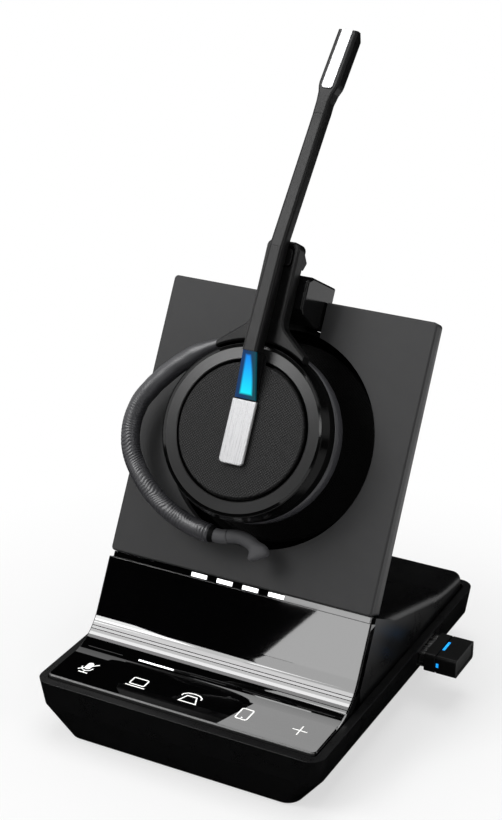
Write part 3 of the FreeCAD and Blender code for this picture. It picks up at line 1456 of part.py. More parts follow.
def mic_strip():
    body = start_body("mic_strip", CUP)
    start = s.head_start - 1.7
    fall = (s.head_front - s.head_tip_front) / (s.head_tip - s.head_start)
    start_front = s.head_front + fall * 1.7
    sections = []
    for part, less in ((0, 1), (0.3, 0.3), (1, 0)):
        along = start + s.strip_round * part
        front = start_front - fall * s.strip_round * part
        sections.append(cross_section(body, f"foot_{len(sections)}", along,
                                      s.strip_wide - s.strip_round * less * 2, front,
                                      front + 0.3, 0.1))
    sections.append(cross_section(body, "tip", s.head_tip, s.strip_wide, s.head_tip_front,
                                  s.head_tip_front + 0.3, 0.1))
    loft(body, sections, "strip")
    return node(body)


# ---- the dongle ----------------------------------------------------------------------------


DONGLE_START = HALF_WIDTH + s.dongle_gap
DONGLE_SEAM = DONGLE_START + s.dongle_groove
DONGLE_END = DONGLE_START + s.dongle_length


def dongle_shell():
    body = start_body("dongle_shell", DESK)
    half = s.dongle_width / 2
    rise = s.dongle_height / 2
    outline = draw(body, "outline", "YZ", offset=DONGLE_START, outlines=[rounded(
        s.usb_y - half, s.usb_y + half, USB_MID - rise, USB_MID + rise, 1)])
    pad(body, outline, s.dongle_length)
    groove = draw(body, "groove", "YZ", offset=DONGLE_SEAM, outlines=[
        rounded(s.usb_y - half - 1, s.usb_y + half + 1, USB_MID - rise - 1, USB_MID + rise + 1, 1),
        rounded(s.usb_y - half + 0.5, s.usb_y + half - 0.5, USB_MID - rise + 0.5,
                USB_MID + rise - 0.5, 0.6)])
    pocket(body, groove, 0.5, upward=True)
    seat = draw(body, "plug_seat", "YZ", offset=DONGLE_START, outlines=[rectangle(
        s.usb_y - s.usb_width / 2, s.usb_y + s.usb_width / 2,
        USB_MID - s.usb_height / 2, USB_MID + s.usb_height / 2)])
    pocket(body, seat, 1.5, upward=True)
    face = draw(body, "end_seat", "YZ", offset=DONGLE_END, outlines=[rounded(
        s.usb_y - half + 1, s.usb_y + half - 1, USB_MID - rise + 1, USB_MID + rise - 1, 0.8)])
    pocket(body, face, 0.8)
    slots = draw(body, "light_slots", "XY", offset=USB_MID + rise, outlines=[rectangle(
        DONGLE_SEAM + 0.5, DONGLE_SEAM + 1.3, s.usb_y - 2.6, s.usb_y + 2.6)])
    pocket(body, slots, 0.5)
    side_slot = draw(body, "side_slot", "XZ", offset=half - s.usb_y, outlines=[rectangle(
        DONGLE_SEAM + 0.5, DONGLE_SEAM + 1.3, USB_MID - 0.6, USB_MID + 0.8)])
    pocket(body, side_slot, 0.5)
    return node(body)


def dongle_end():
    body = start_body("dongle_end", DESK)
    half = s.dongle_width / 2
    rise = s.dongle_height / 2
    face = draw(body, "face", "YZ", offset=DONGLE_END - 0.8, outlines=[rounded(
        s.usb_y - half + 1, s.usb_y + half - 1, USB_MID - rise + 1, USB_MID + rise - 1, 0.8)])
    pad(body, face, 0.6)
    return node(body)


def dongle_plug():
    half = s.usb_width / 2
    rise = s.usb_height / 2
    start = DONGLE_START - s.usb_length
    outer = box("plug_block", DESK, (start, DONGLE_START + 1.5), (s.usb_y - half, s.usb_y + half),
                (USB_MID - rise, USB_MID + rise))
    inner = box("plug_space", DESK, (start - 1, DONGLE_START),
                (s.usb_y - half + s.usb_wall, s.usb_y + half - s.usb_wall),
                (USB_MID - rise + s.usb_wall, USB_MID + rise - s.usb_wall))
    return node(cut("dongle_plug", outer, [inner]))


def dongle_board():
    half = s.usb_width / 2 - s.usb_wall
    low = USB_MID - s.usb_height / 2 + s.usb_wall
    tongue = box("dongle_board", DESK, (DONGLE_START - s.usb_length + s.fit_gap, DONGLE_START),
                 (s.usb_y - half, s.usb_y + half), (low, USB_MID - 0.1))
    return node(tongue)


def dongle_light():
    top = USB_MID + s.dongle_height / 2
    light = box("dongle_top_light", DESK, (DONGLE_SEAM + 0.5, DONGLE_SEAM + 1.3),
                (s.usb_y - 2.6, s.usb_y + 2.6), (top - 0.5, top))
    side = s.usb_y - s.dongle_width / 2
    side_light = box("dongle_side_light", DESK, (DONGLE_SEAM + 0.5, DONGLE_SEAM + 1.3),
                     (side, side + 0.5), (USB_MID - 0.6, USB_MID + 0.8))
    return node(group("dongle_light", [light, side_light]))


def build():
    for make in (
        base_tray, foot_pad, ballast_plate, case_screws, touch_panel, touch_board,
        panel_light_guides, top_housing, main_board, side_usb_socket, line_sockets,
        rear_usb_socket, power_inlet, upright_plate, upright_back, upright_screws, status_strip,
        status_lenses, recess_dish, recess_mesh, cradle_shell, cradle_magnet, cradle_board,
        contact_pins, cup_housing, cup_ring, speaker_baffle, speaker_driver, headset_board,
        ear_pad, speaker_screen, stem_housing, stem_back, charge_contacts, stem_battery,
        stem_magnet_plate, key_switch, stem_button, hook_pivot, ear_hook, boom_disc, hub_clip,
        boom_neck, status_lens, call_button, boom_lower, boom_arm, mic_head, mic_capsule,
        mic_strip, dongle_shell, dongle_end, dongle_plug, dongle_board, dongle_light,
    ):
        make()
    doc.recompute()


def check_document():
    faults = []
    for thing in doc.Objects:
        if "Invalid" in thing.State or "Error" in thing.State:
            faults.append(f"{thing.Label}: {thing.State}")
    for thing in PARTS:
        shape = thing.Shape
        if shape.isNull() or not shape.isValid() or not shape.Solids:
            faults.append(f"{thing.Label}: no valid solid")
    if faults:
        raise RuntimeError("; ".join(faults))


def export():
    os.makedirs("parts", exist_ok=True)
    for thing in PARTS:
        thing.Shape.exportStep(f"parts/{thing.Label}.step")
        shape = thing.Shape
        print(f"{thing.Label:20s} solids {len(shape.Solids)} faces {len(shape.Faces):4d} "
              f"volume {shape.Volume:10.2f}")


build()
check_document()
export()
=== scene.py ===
import json
import math

import bpy
from bpy.props import FloatProperty, FloatVectorProperty, PointerProperty
from mathutils import Matrix, Vector, noise
from mathutils.bvhtree import BVHTree


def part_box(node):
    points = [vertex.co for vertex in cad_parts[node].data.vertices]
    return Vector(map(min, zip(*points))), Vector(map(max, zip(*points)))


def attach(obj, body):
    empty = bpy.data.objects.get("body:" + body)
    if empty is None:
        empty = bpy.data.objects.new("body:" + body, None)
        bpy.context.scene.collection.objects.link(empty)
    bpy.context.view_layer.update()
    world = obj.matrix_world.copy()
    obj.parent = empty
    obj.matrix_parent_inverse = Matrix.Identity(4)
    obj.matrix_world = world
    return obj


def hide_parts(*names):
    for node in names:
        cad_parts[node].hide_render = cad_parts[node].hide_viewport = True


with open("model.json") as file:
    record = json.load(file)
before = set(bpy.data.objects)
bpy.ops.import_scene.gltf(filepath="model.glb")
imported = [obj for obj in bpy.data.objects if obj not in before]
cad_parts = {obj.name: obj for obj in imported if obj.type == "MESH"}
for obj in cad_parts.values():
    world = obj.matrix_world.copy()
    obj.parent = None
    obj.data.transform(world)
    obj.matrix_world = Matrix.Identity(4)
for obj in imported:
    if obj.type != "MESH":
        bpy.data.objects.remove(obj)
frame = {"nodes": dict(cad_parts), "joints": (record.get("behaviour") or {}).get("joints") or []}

bl_info = {
    "name": "Office headset on its charging base",
    "version": (1, 0, 0),
    "blender": (4, 5, 0),
    "location": "3D View > Sidebar > Headset",
    "description": "Dresses the packed frame of the headset with finishes, soft pieces and lights",
    "category": "Object",
}

MM = 0.001
JOINTS = {joint["name"]: joint for joint in frame["joints"]}


# ---- places read from the frame --------------------------------------------------------------


def face_frame():
    """Matrix of the upright's face at the ear cup's centre: X right, Y up its slope, Z out."""
    out = Vector(JOINTS["boom_turn"]["axis"]).normalized()
    across = Vector((1, 0, 0))
    up = out.cross(across)
    pivot = Vector(JOINTS["boom_turn"]["pos_m"])
    front = max(vertex.co.dot(out) for vertex in frame["nodes"]["upright_plate"].data.vertices)
    centre = pivot + out * (front - pivot.dot(out))
    rows = Matrix((across, up, out)).transposed().to_4x4()
    return Matrix.Translation(centre) @ rows


FACE = face_frame()
TILT = math.atan2(FACE.col[2].z, -FACE.col[2].y)


def span(node):
    """Lowest and highest corner of a CAD node, measured in the face's frame."""
    inverse = FACE.inverted()
    points = [inverse @ vertex.co for vertex in frame["nodes"][node].data.vertices]
    low = Vector([min(point[axis] for point in points) for axis in range(3)])
    high = Vector([max(point[axis] for point in points) for axis in range(3)])
    return low, high


def surface_of(node):
    """Search tree over a CAD node's faces, to lay prints on them."""
    data = frame["nodes"][node].data
    return BVHTree.FromPolygons([vertex.co for vertex in data.vertices],
                                [list(face.vertices) for face in data.polygons])


# ---- what a user may change ------------------------------------------------------------------


def length(name, millimetres, description):
    return FloatProperty(name=name, default=millimetres * MM, unit="LENGTH",
                         description=description)


def colour(name, value, description):
    return FloatVectorProperty(name=name, default=value, size=3, min=0, max=1, subtype="COLOR",
                               description=description)


class HeadsetSizes(bpy.types.PropertyGroup):
    """Sizes of the pieces and prints that this add-on makes."""

    ink_line: length("Ink line", 0.42, "Line width of the printed symbols")
    ink_lift: length("Ink height", 0.03, "How far the print stands above the panel")
    bar_length: length("Bar length", 11.8, "Length of an indicator bar on the panel")
    bar_width: length("Bar width", 0.42, "Width of an indicator bar on the panel")
    pad_seam: length("Pad seam", 0.7, "Depth of the ear pad's sewn seam")
    pad_wrinkle: length("Pad wrinkles", 0.35, "Depth of the ear pad's wrinkles")
    sleeve_crease: length("Sleeve creases", 0.26, "Depth of the creases in the padded sleeve")
    sleeve_radius: length("Sleeve radius", 2.85, "Radius of the ear hook's padded sleeve")
    tip_radius: length("Rubber end", 2.0, "Radius of the ear hook's rubber end")
    sleeve_neck: length("Sleeve neck", 1.5, "Radius of the sleeve's upper end")
    grain: length("Grain", 0.22, "Size of the moulded grain on satin plastic")


class HeadsetColours(bpy.types.PropertyGroup):
    """Colours of the finishes."""

    base: colour("Base", (0.0035, 0.0035, 0.0037), "Satin black of the base")
    panel: colour("Panel", (0.0012, 0.0012, 0.0013), "Gloss black of the touch panel")
    plate: colour("Upright", (0.032, 0.032, 0.0327), "Dark grey of the upright")
    shell: colour("Headset shell", (0.004, 0.004, 0.0041), "Black of the headset's shells")
    ring: colour("Ring", (0.009, 0.009, 0.0092), "Grey of the ear cup's ring")
    leather: colour("Leather", (0.004, 0.004, 0.004), "Black leatherette")
    silver: colour("Silver", (0.44, 0.44, 0.448), "Brushed aluminium")
    ink: colour("Ink", (0.85, 0.85, 0.83), "Printed symbols")
    lamp: colour("Lamp", (1.0, 1.0, 1.0), "White light bars")
    lens_low: colour("Lens foot", (0.0, 0.90, 0.95), "Status light at its foot")
    lens_high: colour("Lens top", (0.0, 0.16, 0.80), "Status light at its top")
    floor: colour("Floor", (0.86, 0.86, 0.86), "Plain floor")


# ---- finishes --------------------------------------------------------------------------------

WAVE_WIDTH = 0.314159  # width of one band of the wave texture at a scale of 1
SATIN_EDGE = 0.25 * MM
GLOSS_EDGE = 0.2 * MM
METAL_EDGE = 0.12 * MM


class Finish:
    """One procedural material, with helpers for its colour, roughness and bump."""

    def __init__(self, name, base, rough, metal=0.0, specular=0.5):
        self.name = name
        self.material = bpy.data.materials.new(name)
        self.material.use_nodes = True
        self.tree = self.material.node_tree
        self.shader = self.tree.nodes["Principled BSDF"]
        self.base = (*base, 1)
        self.rough = rough
        self.set("Base Color", self.base)
        self.set("Roughness", rough)
        self.set("Metallic", metal)
        self.set("Specular IOR Level", specular)
        self.place = self.add("ShaderNodeTexCoord").outputs["Object"]
        self.normal = None

    def set(self, socket, value):
        self.shader.inputs[socket].default_value = value

    def drive(self, socket, source):
        self.link(source, self.shader.inputs[socket])

    def link(self, source, target):
        self.tree.links.new(source, target)

    def give(self, value, socket):
        """Links a node's output to a socket, or sets the socket to a plain value."""
        if isinstance(value, bpy.types.NodeSocket):
            self.link(value, socket)
        else:
            socket.default_value = value

    def add(self, kind, **settings):
        made = self.tree.nodes.new(kind)
        for key, value in settings.items():
            setattr(made, key, value)
        return made

    def run(self, kind, source, output, values, into="Vector", **settings):
        """One node: what feeds it, the output it gives and its inputs' values by name."""
        made = self.add(kind, **settings)
        for socket, value in values.items():
            made.inputs[socket].default_value = value
        self.link(source, made.inputs[into])
        return made.outputs[output]

    def split(self, vector):
        """The X, Y and Z outputs of the coordinates."""
        made = self.add("ShaderNodeSeparateXYZ")
        self.link(vector, made.inputs["Vector"])
        return made.outputs

    def moved(self, vector, values):
        return self.run("ShaderNodeMapping", vector, "Vector", values, vector_type="POINT")

    def mapped(self, turn=(0, 0, 0), stretch=(1, 1, 1), centre=(0, 0, 0)):
        """Coordinates moved to a centre, turned and stretched."""
        moved = self.moved(self.place, {"Location": [-value for value in centre]})
        return self.moved(moved, {"Rotation": turn, "Scale": stretch})

    def on_face(self, stretch=(1, 1, 1), spin=0.0):
        """Coordinates with X across the upright and Y up its slope, from the cup's centre."""
        upright = self.mapped((TILT - math.pi / 2, 0, 0), centre=FACE.translation)
        return self.moved(upright, {"Rotation": (0, 0, spin), "Scale": stretch})

    def noise(self, size, vector=None, detail=3.0):
        return self.run("ShaderNodeTexNoise", vector or self.place, "Fac",
                        {"Scale": 1 / size, "Detail": detail, "Roughness": 0.6})

    def cells(self, size, vector=None, random=1.0, feature="F1"):
        return self.run("ShaderNodeTexVoronoi", vector or self.place, "Distance",
                        {"Scale": 1 / size, "Randomness": random}, feature=feature)

    def wave(self, size, vector, direction="X"):
        return self.run("ShaderNodeTexWave", vector, "Fac", {"Scale": WAVE_WIDTH / size},
                        wave_type="BANDS", bands_direction=direction)

    def remap(self, value, low, high, to_low=0.0, to_high=1.0):
        return self.run("ShaderNodeMapRange", value, "Result",
                        {"From Min": low, "From Max": high, "To Min": to_low, "To Max": to_high},
                        into="Value")

    def math(self, operation, first, second):
        made = self.add("ShaderNodeMath", operation=operation)
        self.give(first, made.inputs[0])
        self.give(second, made.inputs[1])
        return made.outputs["Value"]

    def blend(self, mask, first, second):
        """Goes from the first colour to the second as the mask goes from 0 to 1."""
        made = self.add("ShaderNodeMix", data_type="RGBA")
        self.link(mask, made.inputs["Factor"])
        self.give(first, made.inputs["A"])
        self.give(second, made.inputs["B"])
        return made.outputs["Result"]

    def tint(self, mask, other):
        """Mixes the base colour with another where the mask is 1."""
        self.drive("Base Color", self.blend(mask, self.base, (*other, 1)))

    def vary(self, value, spread):
        """Roughness that moves by the spread as the value goes from 0.3 to 0.7."""
        self.drive("Roughness", self.remap(value, 0.3, 0.7, max(self.rough - spread, 0.01),
                                           self.rough + spread))

    def bump(self, height, depth, strength=1.0):
        made = self.add("ShaderNodeBump")
        made.inputs["Distance"].default_value = depth
        made.inputs["Strength"].default_value = strength
        self.link(height, made.inputs["Height"])
        if self.normal is not None:
            self.link(self.normal, made.inputs["Normal"])
        self.normal = made.outputs["Normal"]
        self.drive("Normal", self.normal)

    def rounded(self, radius):
        """Softens the look of sharp edges by this radius."""
        made = self.add("ShaderNodeBevel", samples=4)
        made.inputs["Radius"].default_value = radius
        self.normal = made.outputs["Normal"]
        self.drive("Normal", self.normal)

    def glow(self, tone, strength):
        self.set("Emission Color", (*tone, 1))
        self.set("Emission Strength", strength)


def satin(name, tone, rough, grain, specular, depth=0.012 * MM):
    """Moulded satin plastic: fine grain, slightly uneven gloss and faint handling marks."""
    finish = Finish(name, tone, rough, specular=specular)
    finish.rounded(SATIN_EDGE)
    fine = finish.noise(grain, detail=2)
    broad = finish.noise(9 * MM, detail=4)
    finish.tint(finish.remap(broad, 0.35, 0.75, 0, 0.35), [value * 1.5 for value in tone])
    finish.vary(finish.math("ADD", finish.math("MULTIPLY", broad, 0.6),
                            finish.math("MULTIPLY", fine, 0.4)), 0.06)
    finish.bump(fine, depth)
    return finish


def gloss(name, tone, rough, specular, index=1.5):
    """Polished plastic with faint smears and dust."""
    finish = Finish(name, tone, rough, specular=specular)
    finish.set("IOR", index)
    finish.rounded(GLOSS_EDGE)
    smear = finish.noise(14 * MM, finish.mapped(stretch=(1, 2.5, 1)), detail=5)
    finish.vary(smear, 0.012)
    dust = finish.noise(0.5 * MM, detail=1)
    finish.tint(finish.remap(dust, 0.72, 0.8, 0, 0.25), (0.02, 0.02, 0.02))
    finish.bump(smear, 0.0015 * MM, 0.5)
    return finish


def metal(name, tone, rough, stretch, on_face=False, amount=1.0):
    """Brushed metal, with hairlines along the axis that is stretched the least."""
    finish = Finish(name, tone, rough, metal=amount)
    finish.rounded(METAL_EDGE)
    along = finish.on_face(stretch) if on_face else finish.mapped(stretch=stretch)
    lines = finish.noise(0.2 * MM, along, detail=4)
    finish.tint(finish.remap(lines, 0.35, 0.7), [value * 0.86 for value in tone])
    finish.vary(lines, 0.08)
    finish.bump(lines, 0.004 * MM)
    return finish


def panel_finish(tone):
    """Polished black of the touch panel, dull along its front edge."""
    rough, edge_rough = 0.02, 0.5
    panel = gloss("panel_gloss", tone, rough, 0.5, 1.7)
    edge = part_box("touch_panel")[0].y + 0.5 * MM
    panel.drive("Roughness", panel.remap(panel.split(panel.place)["Y"], edge - 0.1 * MM,
                                         edge + 0.1 * MM, edge_rough, rough))
    return panel


def leather_finish(tone):
    """Leatherette: pebbled grain with fine pores, slightly shinier on its high spots."""
    finish = Finish("leather", tone, 0.42, specular=0.12)
    pebble = finish.cells(0.42 * MM, random=0.9)
    broad = finish.noise(5 * MM, detail=4)
    finish.tint(finish.remap(broad, 0.35, 0.7, 0, 0.6), [value * 1.8 for value in tone])
    finish.vary(finish.remap(pebble, 0.0, 0.6, 0.75, 0.35), 0.09)
    finish.bump(pebble, 0.03 * MM)
    finish.bump(finish.noise(0.16 * MM, detail=2), 0.01 * MM)
    finish.set("Sheen Weight", 0.02)
    finish.set("Sheen Roughness", 0.4)
    return finish


def rubber_finish():
    """Dull black rubber with a fine speckle."""
    rubber = Finish("rubber", (0.003, 0.003, 0.0031), 0.5, specular=0.03)
    speck = rubber.noise(0.35 * MM)
    rubber.tint(rubber.remap(rubber.noise(6 * MM), 0.3, 0.7, 0, 0.5), (0.008, 0.008, 0.0084))
    rubber.vary(speck, 0.08)
    rubber.bump(speck, 0.02 * MM)
    return rubber


def gold_finish():
    """Gold contacts with worn, paler patches."""
    gold = Finish("gold", (0.83, 0.60, 0.22), 0.22, metal=1.0)
    wear = gold.noise(0.6 * MM, detail=4)
    gold.tint(gold.remap(wear, 0.5, 0.75, 0, 0.6), (0.55, 0.42, 0.22))
    gold.vary(wear, 0.08)
    return gold


RING_EDGE = 0.8 * MM  # width of the polished outer edge of the ear cup's ring
RING_INNER = 20.35 * MM  # radius where the ring's polished inner edge starts
RING_SLOPE = -0.13  # fall of the ring's crown from its centre outwards
RING_FALLS = (0.75, 0.7)  # further fall over the outer and the inner edge


def ring_finish(tone):
    """Turned grey ring with a slight crown and two polished edges."""
    rough, polished_rough = 0.34, 0.1
    ring = Finish("ring_satin", tone, rough, specular=0.35)
    low, high = span("cup_ring")
    outer = (high.x - low.x) / 2
    spot = ring.split(ring.on_face())
    squares = [ring.math("MULTIPLY", spot[axis], spot[axis]) for axis in "XY"]
    radius = ring.math("SQRT", ring.math("ADD", *squares), 0)
    outside = ring.math("MAXIMUM", ring.math("SUBTRACT", radius, outer - RING_EDGE), 0)
    inside = ring.math("MAXIMUM", ring.math("SUBTRACT", RING_INNER, radius), 0)
    polished = ring.remap(ring.math("ADD", outside, inside), 0.02 * MM, 0.12 * MM)
    ring.tint(polished, (0.003, 0.003, 0.003))
    ring.drive("Roughness", ring.remap(polished, 0, 1, rough, polished_rough))
    crown = ring.math("MULTIPLY", radius, RING_SLOPE)
    for edge, fall in zip((outside, inside), RING_FALLS):
        crown = ring.math("SUBTRACT", crown, ring.math("MULTIPLY", edge, fall))
    ring.bump(crown, 1.0)
    ring.bump(ring.noise(0.35 * MM), 0.006 * MM)
    return ring


def cup_finish(grain):
    """Black of the ear cup: satin behind, with a polished band in front."""
    band_share = 0.55  # where the band starts, as a share of the cup's depth
    cup = Finish("cup_band", (0.001, 0.001, 0.001), 0.24, specular=0.08)
    cup.rounded(GLOSS_EDGE)
    low, high = span("cup_housing")
    band = low.z + band_share * (high.z - low.z)
    polished = cup.remap(cup.split(cup.on_face())["Z"], band - 0.1 * MM, band + 0.1 * MM)
    cup.drive("Roughness", cup.remap(polished, 0, 1, 0.42, 0.13))
    cup.tint(polished, (0.0015, 0.0015, 0.0015))
    cup.bump(cup.noise(grain, detail=2), 0.008 * MM)
    return cup


def disc_finish():
    """Knurled disc: two crossed sets of ridges."""
    pitch = 0.62 * MM
    disc = Finish("disc_knurl", (0.009, 0.009, 0.009), 0.42, specular=0.12)
    disc.rounded(GLOSS_EDGE)
    knurl = disc.math("MULTIPLY", *(disc.wave(pitch, disc.on_face(spin=math.radians(degrees)))
                                    for degrees in (45, -45)))
    disc.tint(disc.remap(knurl, 0.1, 0.6), (0.021, 0.021, 0.0215))
    disc.vary(knurl, 0.06)
    disc.bump(knurl, 0.09 * MM)
    return disc


def mesh_finish():
    """Black mesh with rows of small round holes."""
    pitch, turn = 0.66 * MM, math.radians(38)
    mesh = Finish("sound_mesh", (0.006, 0.006, 0.006), 0.5, specular=0.03)
    dots = mesh.cells(pitch, mesh.on_face(spin=turn), random=0.0)
    mesh.tint(mesh.remap(dots, 0.26, 0.34, 1, 0), (0.0003, 0.0003, 0.0003))
    mesh.bump(mesh.remap(dots, 0.2, 0.4), 0.12 * MM)
    return mesh


def cloth_finish():
    """Woven screen over the speaker."""
    thread = 0.3 * MM
    cloth = Finish("sound_cloth", (0.012, 0.012, 0.012), 0.85, specular=0.2)
    weave = cloth.math("MULTIPLY", *(cloth.wave(thread, cloth.on_face(), way) for way in "XY"))
    cloth.tint(weave, (0.035, 0.035, 0.035))
    cloth.vary(weave, 0.05)
    cloth.bump(weave, 0.08 * MM)
    return cloth


def board_finish():
    """Green circuit board with paler traces."""
    board = Finish("circuit_board", (0.010, 0.075, 0.030), 0.4)
    traces = board.cells(1.4 * MM, random=0.6, feature="DISTANCE_TO_EDGE")
    board.tint(board.remap(traces, 0.03, 0.06, 1, 0), (0.06, 0.20, 0.09))
    board.vary(board.noise(2 * MM), 0.06)
    board.bump(traces, 0.03 * MM)
    return board


def battery_finish():
    """Crinkled blue wrap of the battery."""
    battery = Finish("battery_wrap", (0.05, 0.10, 0.22), 0.35)
    crinkle = battery.noise(1.2 * MM, detail=5)
    battery.tint(battery.remap(crinkle, 0.4, 0.7), (0.08, 0.15, 0.30))
    battery.vary(crinkle, 0.08)
    battery.bump(crinkle, 0.05 * MM)
    return battery


def lamp_finish(tone):
    """White light bar, slightly cloudy."""
    lamp = Finish("lamp_white", (0.9, 0.9, 0.9), 0.3)
    cloud = lamp.noise(1.5 * MM, detail=2)
    lamp.glow(tone, 1.6)
    lamp.tint(lamp.remap(cloud, 0.3, 0.7), (0.8, 0.84, 0.9))
    lamp.vary(cloud, 0.05)
    return lamp


def clear_finish(name, tone, rough, other):
    """Moulded light guide or lamp cover with faint clouds."""
    finish = Finish(name, tone, rough)
    finish.tint(finish.remap(finish.noise(0.8 * MM), 0.35, 0.7), other)
    finish.vary(finish.noise(0.5 * MM), 0.05)
    return finish


def cyan_finish():
    """Blue light at the dongle's end."""
    cyan = clear_finish("lamp_cyan", (0.01, 0.2, 0.6), 0.3, (0.05, 0.65, 0.95))
    cyan.glow((0.0, 0.28, 0.85), 1.0)
    return cyan


def status_finish(tones):
    """Status light: a lit shape that narrows upwards, inside a dim blue lens."""
    lens = Finish("status_light", (0.001, 0.012, 0.03), 0.1, specular=0.2)
    place = lens.split(lens.on_face())
    across, along = place["X"], place["Y"]
    low, high = span("status_lens")
    wide = high.x - low.x
    foot_inset, top_inset = 1.3 * MM, 1.2 * MM
    soft_out, soft_in = -0.35 * MM, 0.3 * MM  # where the lit shape's edge starts and ends
    rise = lens.remap(along, low.y, high.y)
    left = lens.remap(rise, 0, 1, -0.27 * wide, -0.12 * wide)
    bulge = lens.math("MULTIPLY", lens.math("MULTIPLY", rise, rise), 0.28 * wide)
    right = lens.math("SUBTRACT", 0.3 * wide, bulge)
    inner = lens.math("MINIMUM", lens.math("SUBTRACT", across, left),
                      lens.math("SUBTRACT", right, across))
    ends = lens.math("MINIMUM", lens.math("SUBTRACT", along, low.y + foot_inset),
                     lens.math("SUBTRACT", high.y - top_inset, along))
    lit = lens.remap(lens.math("MINIMUM", inner, ends), soft_out, soft_in)
    ramp = lens.add("ShaderNodeValToRGB")
    ramp.color_ramp.elements[0].color = (*tones.lens_low, 1)
    ramp.color_ramp.elements[1].color = (*tones.lens_high, 1)
    ramp.color_ramp.elements.new(0.5).color = (0.0, 0.50, 1.0, 1)
    lens.link(rise, ramp.inputs["Fac"])
    dim = lens.blend(lens.remap(across, -0.1 * wide, 0.35 * wide),
                     (0.0, 0.022, 0.10, 1), (0.0, 0.045, 0.055, 1))
    lens.drive("Emission Color", lens.blend(lit, dim, ramp.outputs["Color"]))
    lens.set("Emission Strength", 1.0)
    lens.tint(lens.noise(0.8 * MM), (0.002, 0.02, 0.04))
    lens.vary(lens.noise(0.8 * MM), 0.03)
    return lens


def ink_finish(tone):
    """Pale print that glows a little."""
    ink = Finish("panel_ink", tone, 0.5)
    ink.glow(tone, 0.55)
    ink.tint(ink.remap(ink.noise(0.12 * MM), 0.4, 0.7, 0, 0.4), (0.7, 0.7, 0.68))
    ink.vary(ink.noise(0.2 * MM), 0.05)
    return ink


def dim_ink_finish():
    """Print of the indicator bars that are off."""
    dim = Finish("panel_ink_dim", (0.02, 0.02, 0.02), 0.4, specular=0.2)
    dim.tint(dim.remap(dim.noise(0.3 * MM), 0.4, 0.7), (0.035, 0.035, 0.035))
    dim.vary(dim.noise(0.2 * MM), 0.05)
    return dim


def make_finishes(tones, sizes):
    """Every finish of the object by name."""
    finishes = (
        satin("base_satin", tones.base, 0.3, sizes.grain, 0.25),
        satin("shell_satin", tones.shell, 0.36, sizes.grain, 0.16),
        satin("plate_satin", tones.plate, 0.46, sizes.grain, 0.14, 0.02 * MM),
        panel_finish(tones.panel),
        gloss("cradle_gloss", tones.base, 0.14, 0.2),
        gloss("recess_gloss", (0.0006, 0.0006, 0.0006), 0.24, 0.03),
        leather_finish(tones.leather),
        rubber_finish(),
        metal("steel", (0.50, 0.50, 0.51), 0.3, (0.08, 1, 1)),
        metal("dark_steel", (0.16, 0.16, 0.17), 0.34, (1, 1, 0.1)),
        metal("brushed_silver", tones.silver, 0.3, (1, 0.03, 1), on_face=True, amount=0.3),
        metal("plug_metal", (0.62, 0.62, 0.62), 0.24, (0.06, 1, 1)),
        gold_finish(),
        ring_finish(tones.ring),
        cup_finish(sizes.grain),
        disc_finish(),
        mesh_finish(),
        cloth_finish(),
        board_finish(),
        battery_finish(),
        lamp_finish(tones.lamp),
        clear_finish("light_guide", (0.45, 0.47, 0.5), 0.25, (0.6, 0.62, 0.65)),
        cyan_finish(),
        status_finish(tones),
        ink_finish(tones.ink),
        dim_ink_finish(),
    )
    return {finish.name: finish for finish in finishes}


NODE_FINISHES = {
    "base_satin": "base_tray top_housing line_sockets power_inlet upright_back",
    "plate_satin": "upright_plate",
    "panel_gloss": "touch_panel status_strip",
    "cradle_gloss": "cradle_shell",
    "recess_gloss": "recess_dish",
    "rubber": "foot_pad hook_tip hook_collar",
    "shell_satin": "stem_housing stem_back stem_button boom_lower boom_arm boom_neck mic_head "
                   "dongle_shell dongle_end hook_pivot key_switch speaker_baffle",
    "steel": "ballast_plate side_usb_socket rear_usb_socket cradle_magnet hub_clip hook_wire "
             "stem_magnet_plate speaker_driver mic_capsule",
    "dark_steel": "case_screws upright_screws",
    "brushed_silver": "call_button mic_strip",
    "plug_metal": "dongle_plug",
    "gold": "contact_pins charge_contacts",
    "ring_satin": "cup_ring",
    "cup_band": "cup_housing",
    "disc_knurl": "boom_disc",
    "sound_mesh": "recess_mesh",
    "sound_cloth": "speaker_screen",
    "circuit_board": "touch_board main_board cradle_board headset_board dongle_board",
    "battery_wrap": "stem_battery",
    "lamp_white": "status_lenses",
    "light_guide": "panel_light_guides",
    "lamp_cyan": "dongle_light",
    "status_light": "status_lens",
    "leather": "ear_pad hook_sleeve",
}


def finish_named(name):
    """The material of this name; for leather and rubber that is the frame's own plain one."""
    return bpy.data.materials[name]


# ---- mesh making -----------------------------------------------------------------------------


def make_piece(name, points, faces, finish, body, smooth=True):
    """A mesh piece in metres that rides on a CAD body."""
    data = bpy.data.meshes.new(name)
    data.from_pydata([tuple(point) for point in points], [], faces)
    data.validate()
    data.update()
    data.shade_smooth() if smooth else data.shade_flat()
    piece = bpy.data.objects.new(name, data)
    bpy.context.scene.collection.objects.link(piece)
    data.materials.append(finish_named(finish))
    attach(piece, body)
    return piece


def tube_faces(rings, sides, closed):
    """Quads between rings of points, open-ended or joined into a loop."""
    faces = []
    for ring in range(rings if closed else rings - 1):
        here = ring * sides
        there = (ring + 1) % rings * sides
        for side in range(sides):
            turn = (side + 1) % sides
            faces.append((here + side, here + turn, there + turn, there + side))
    return faces


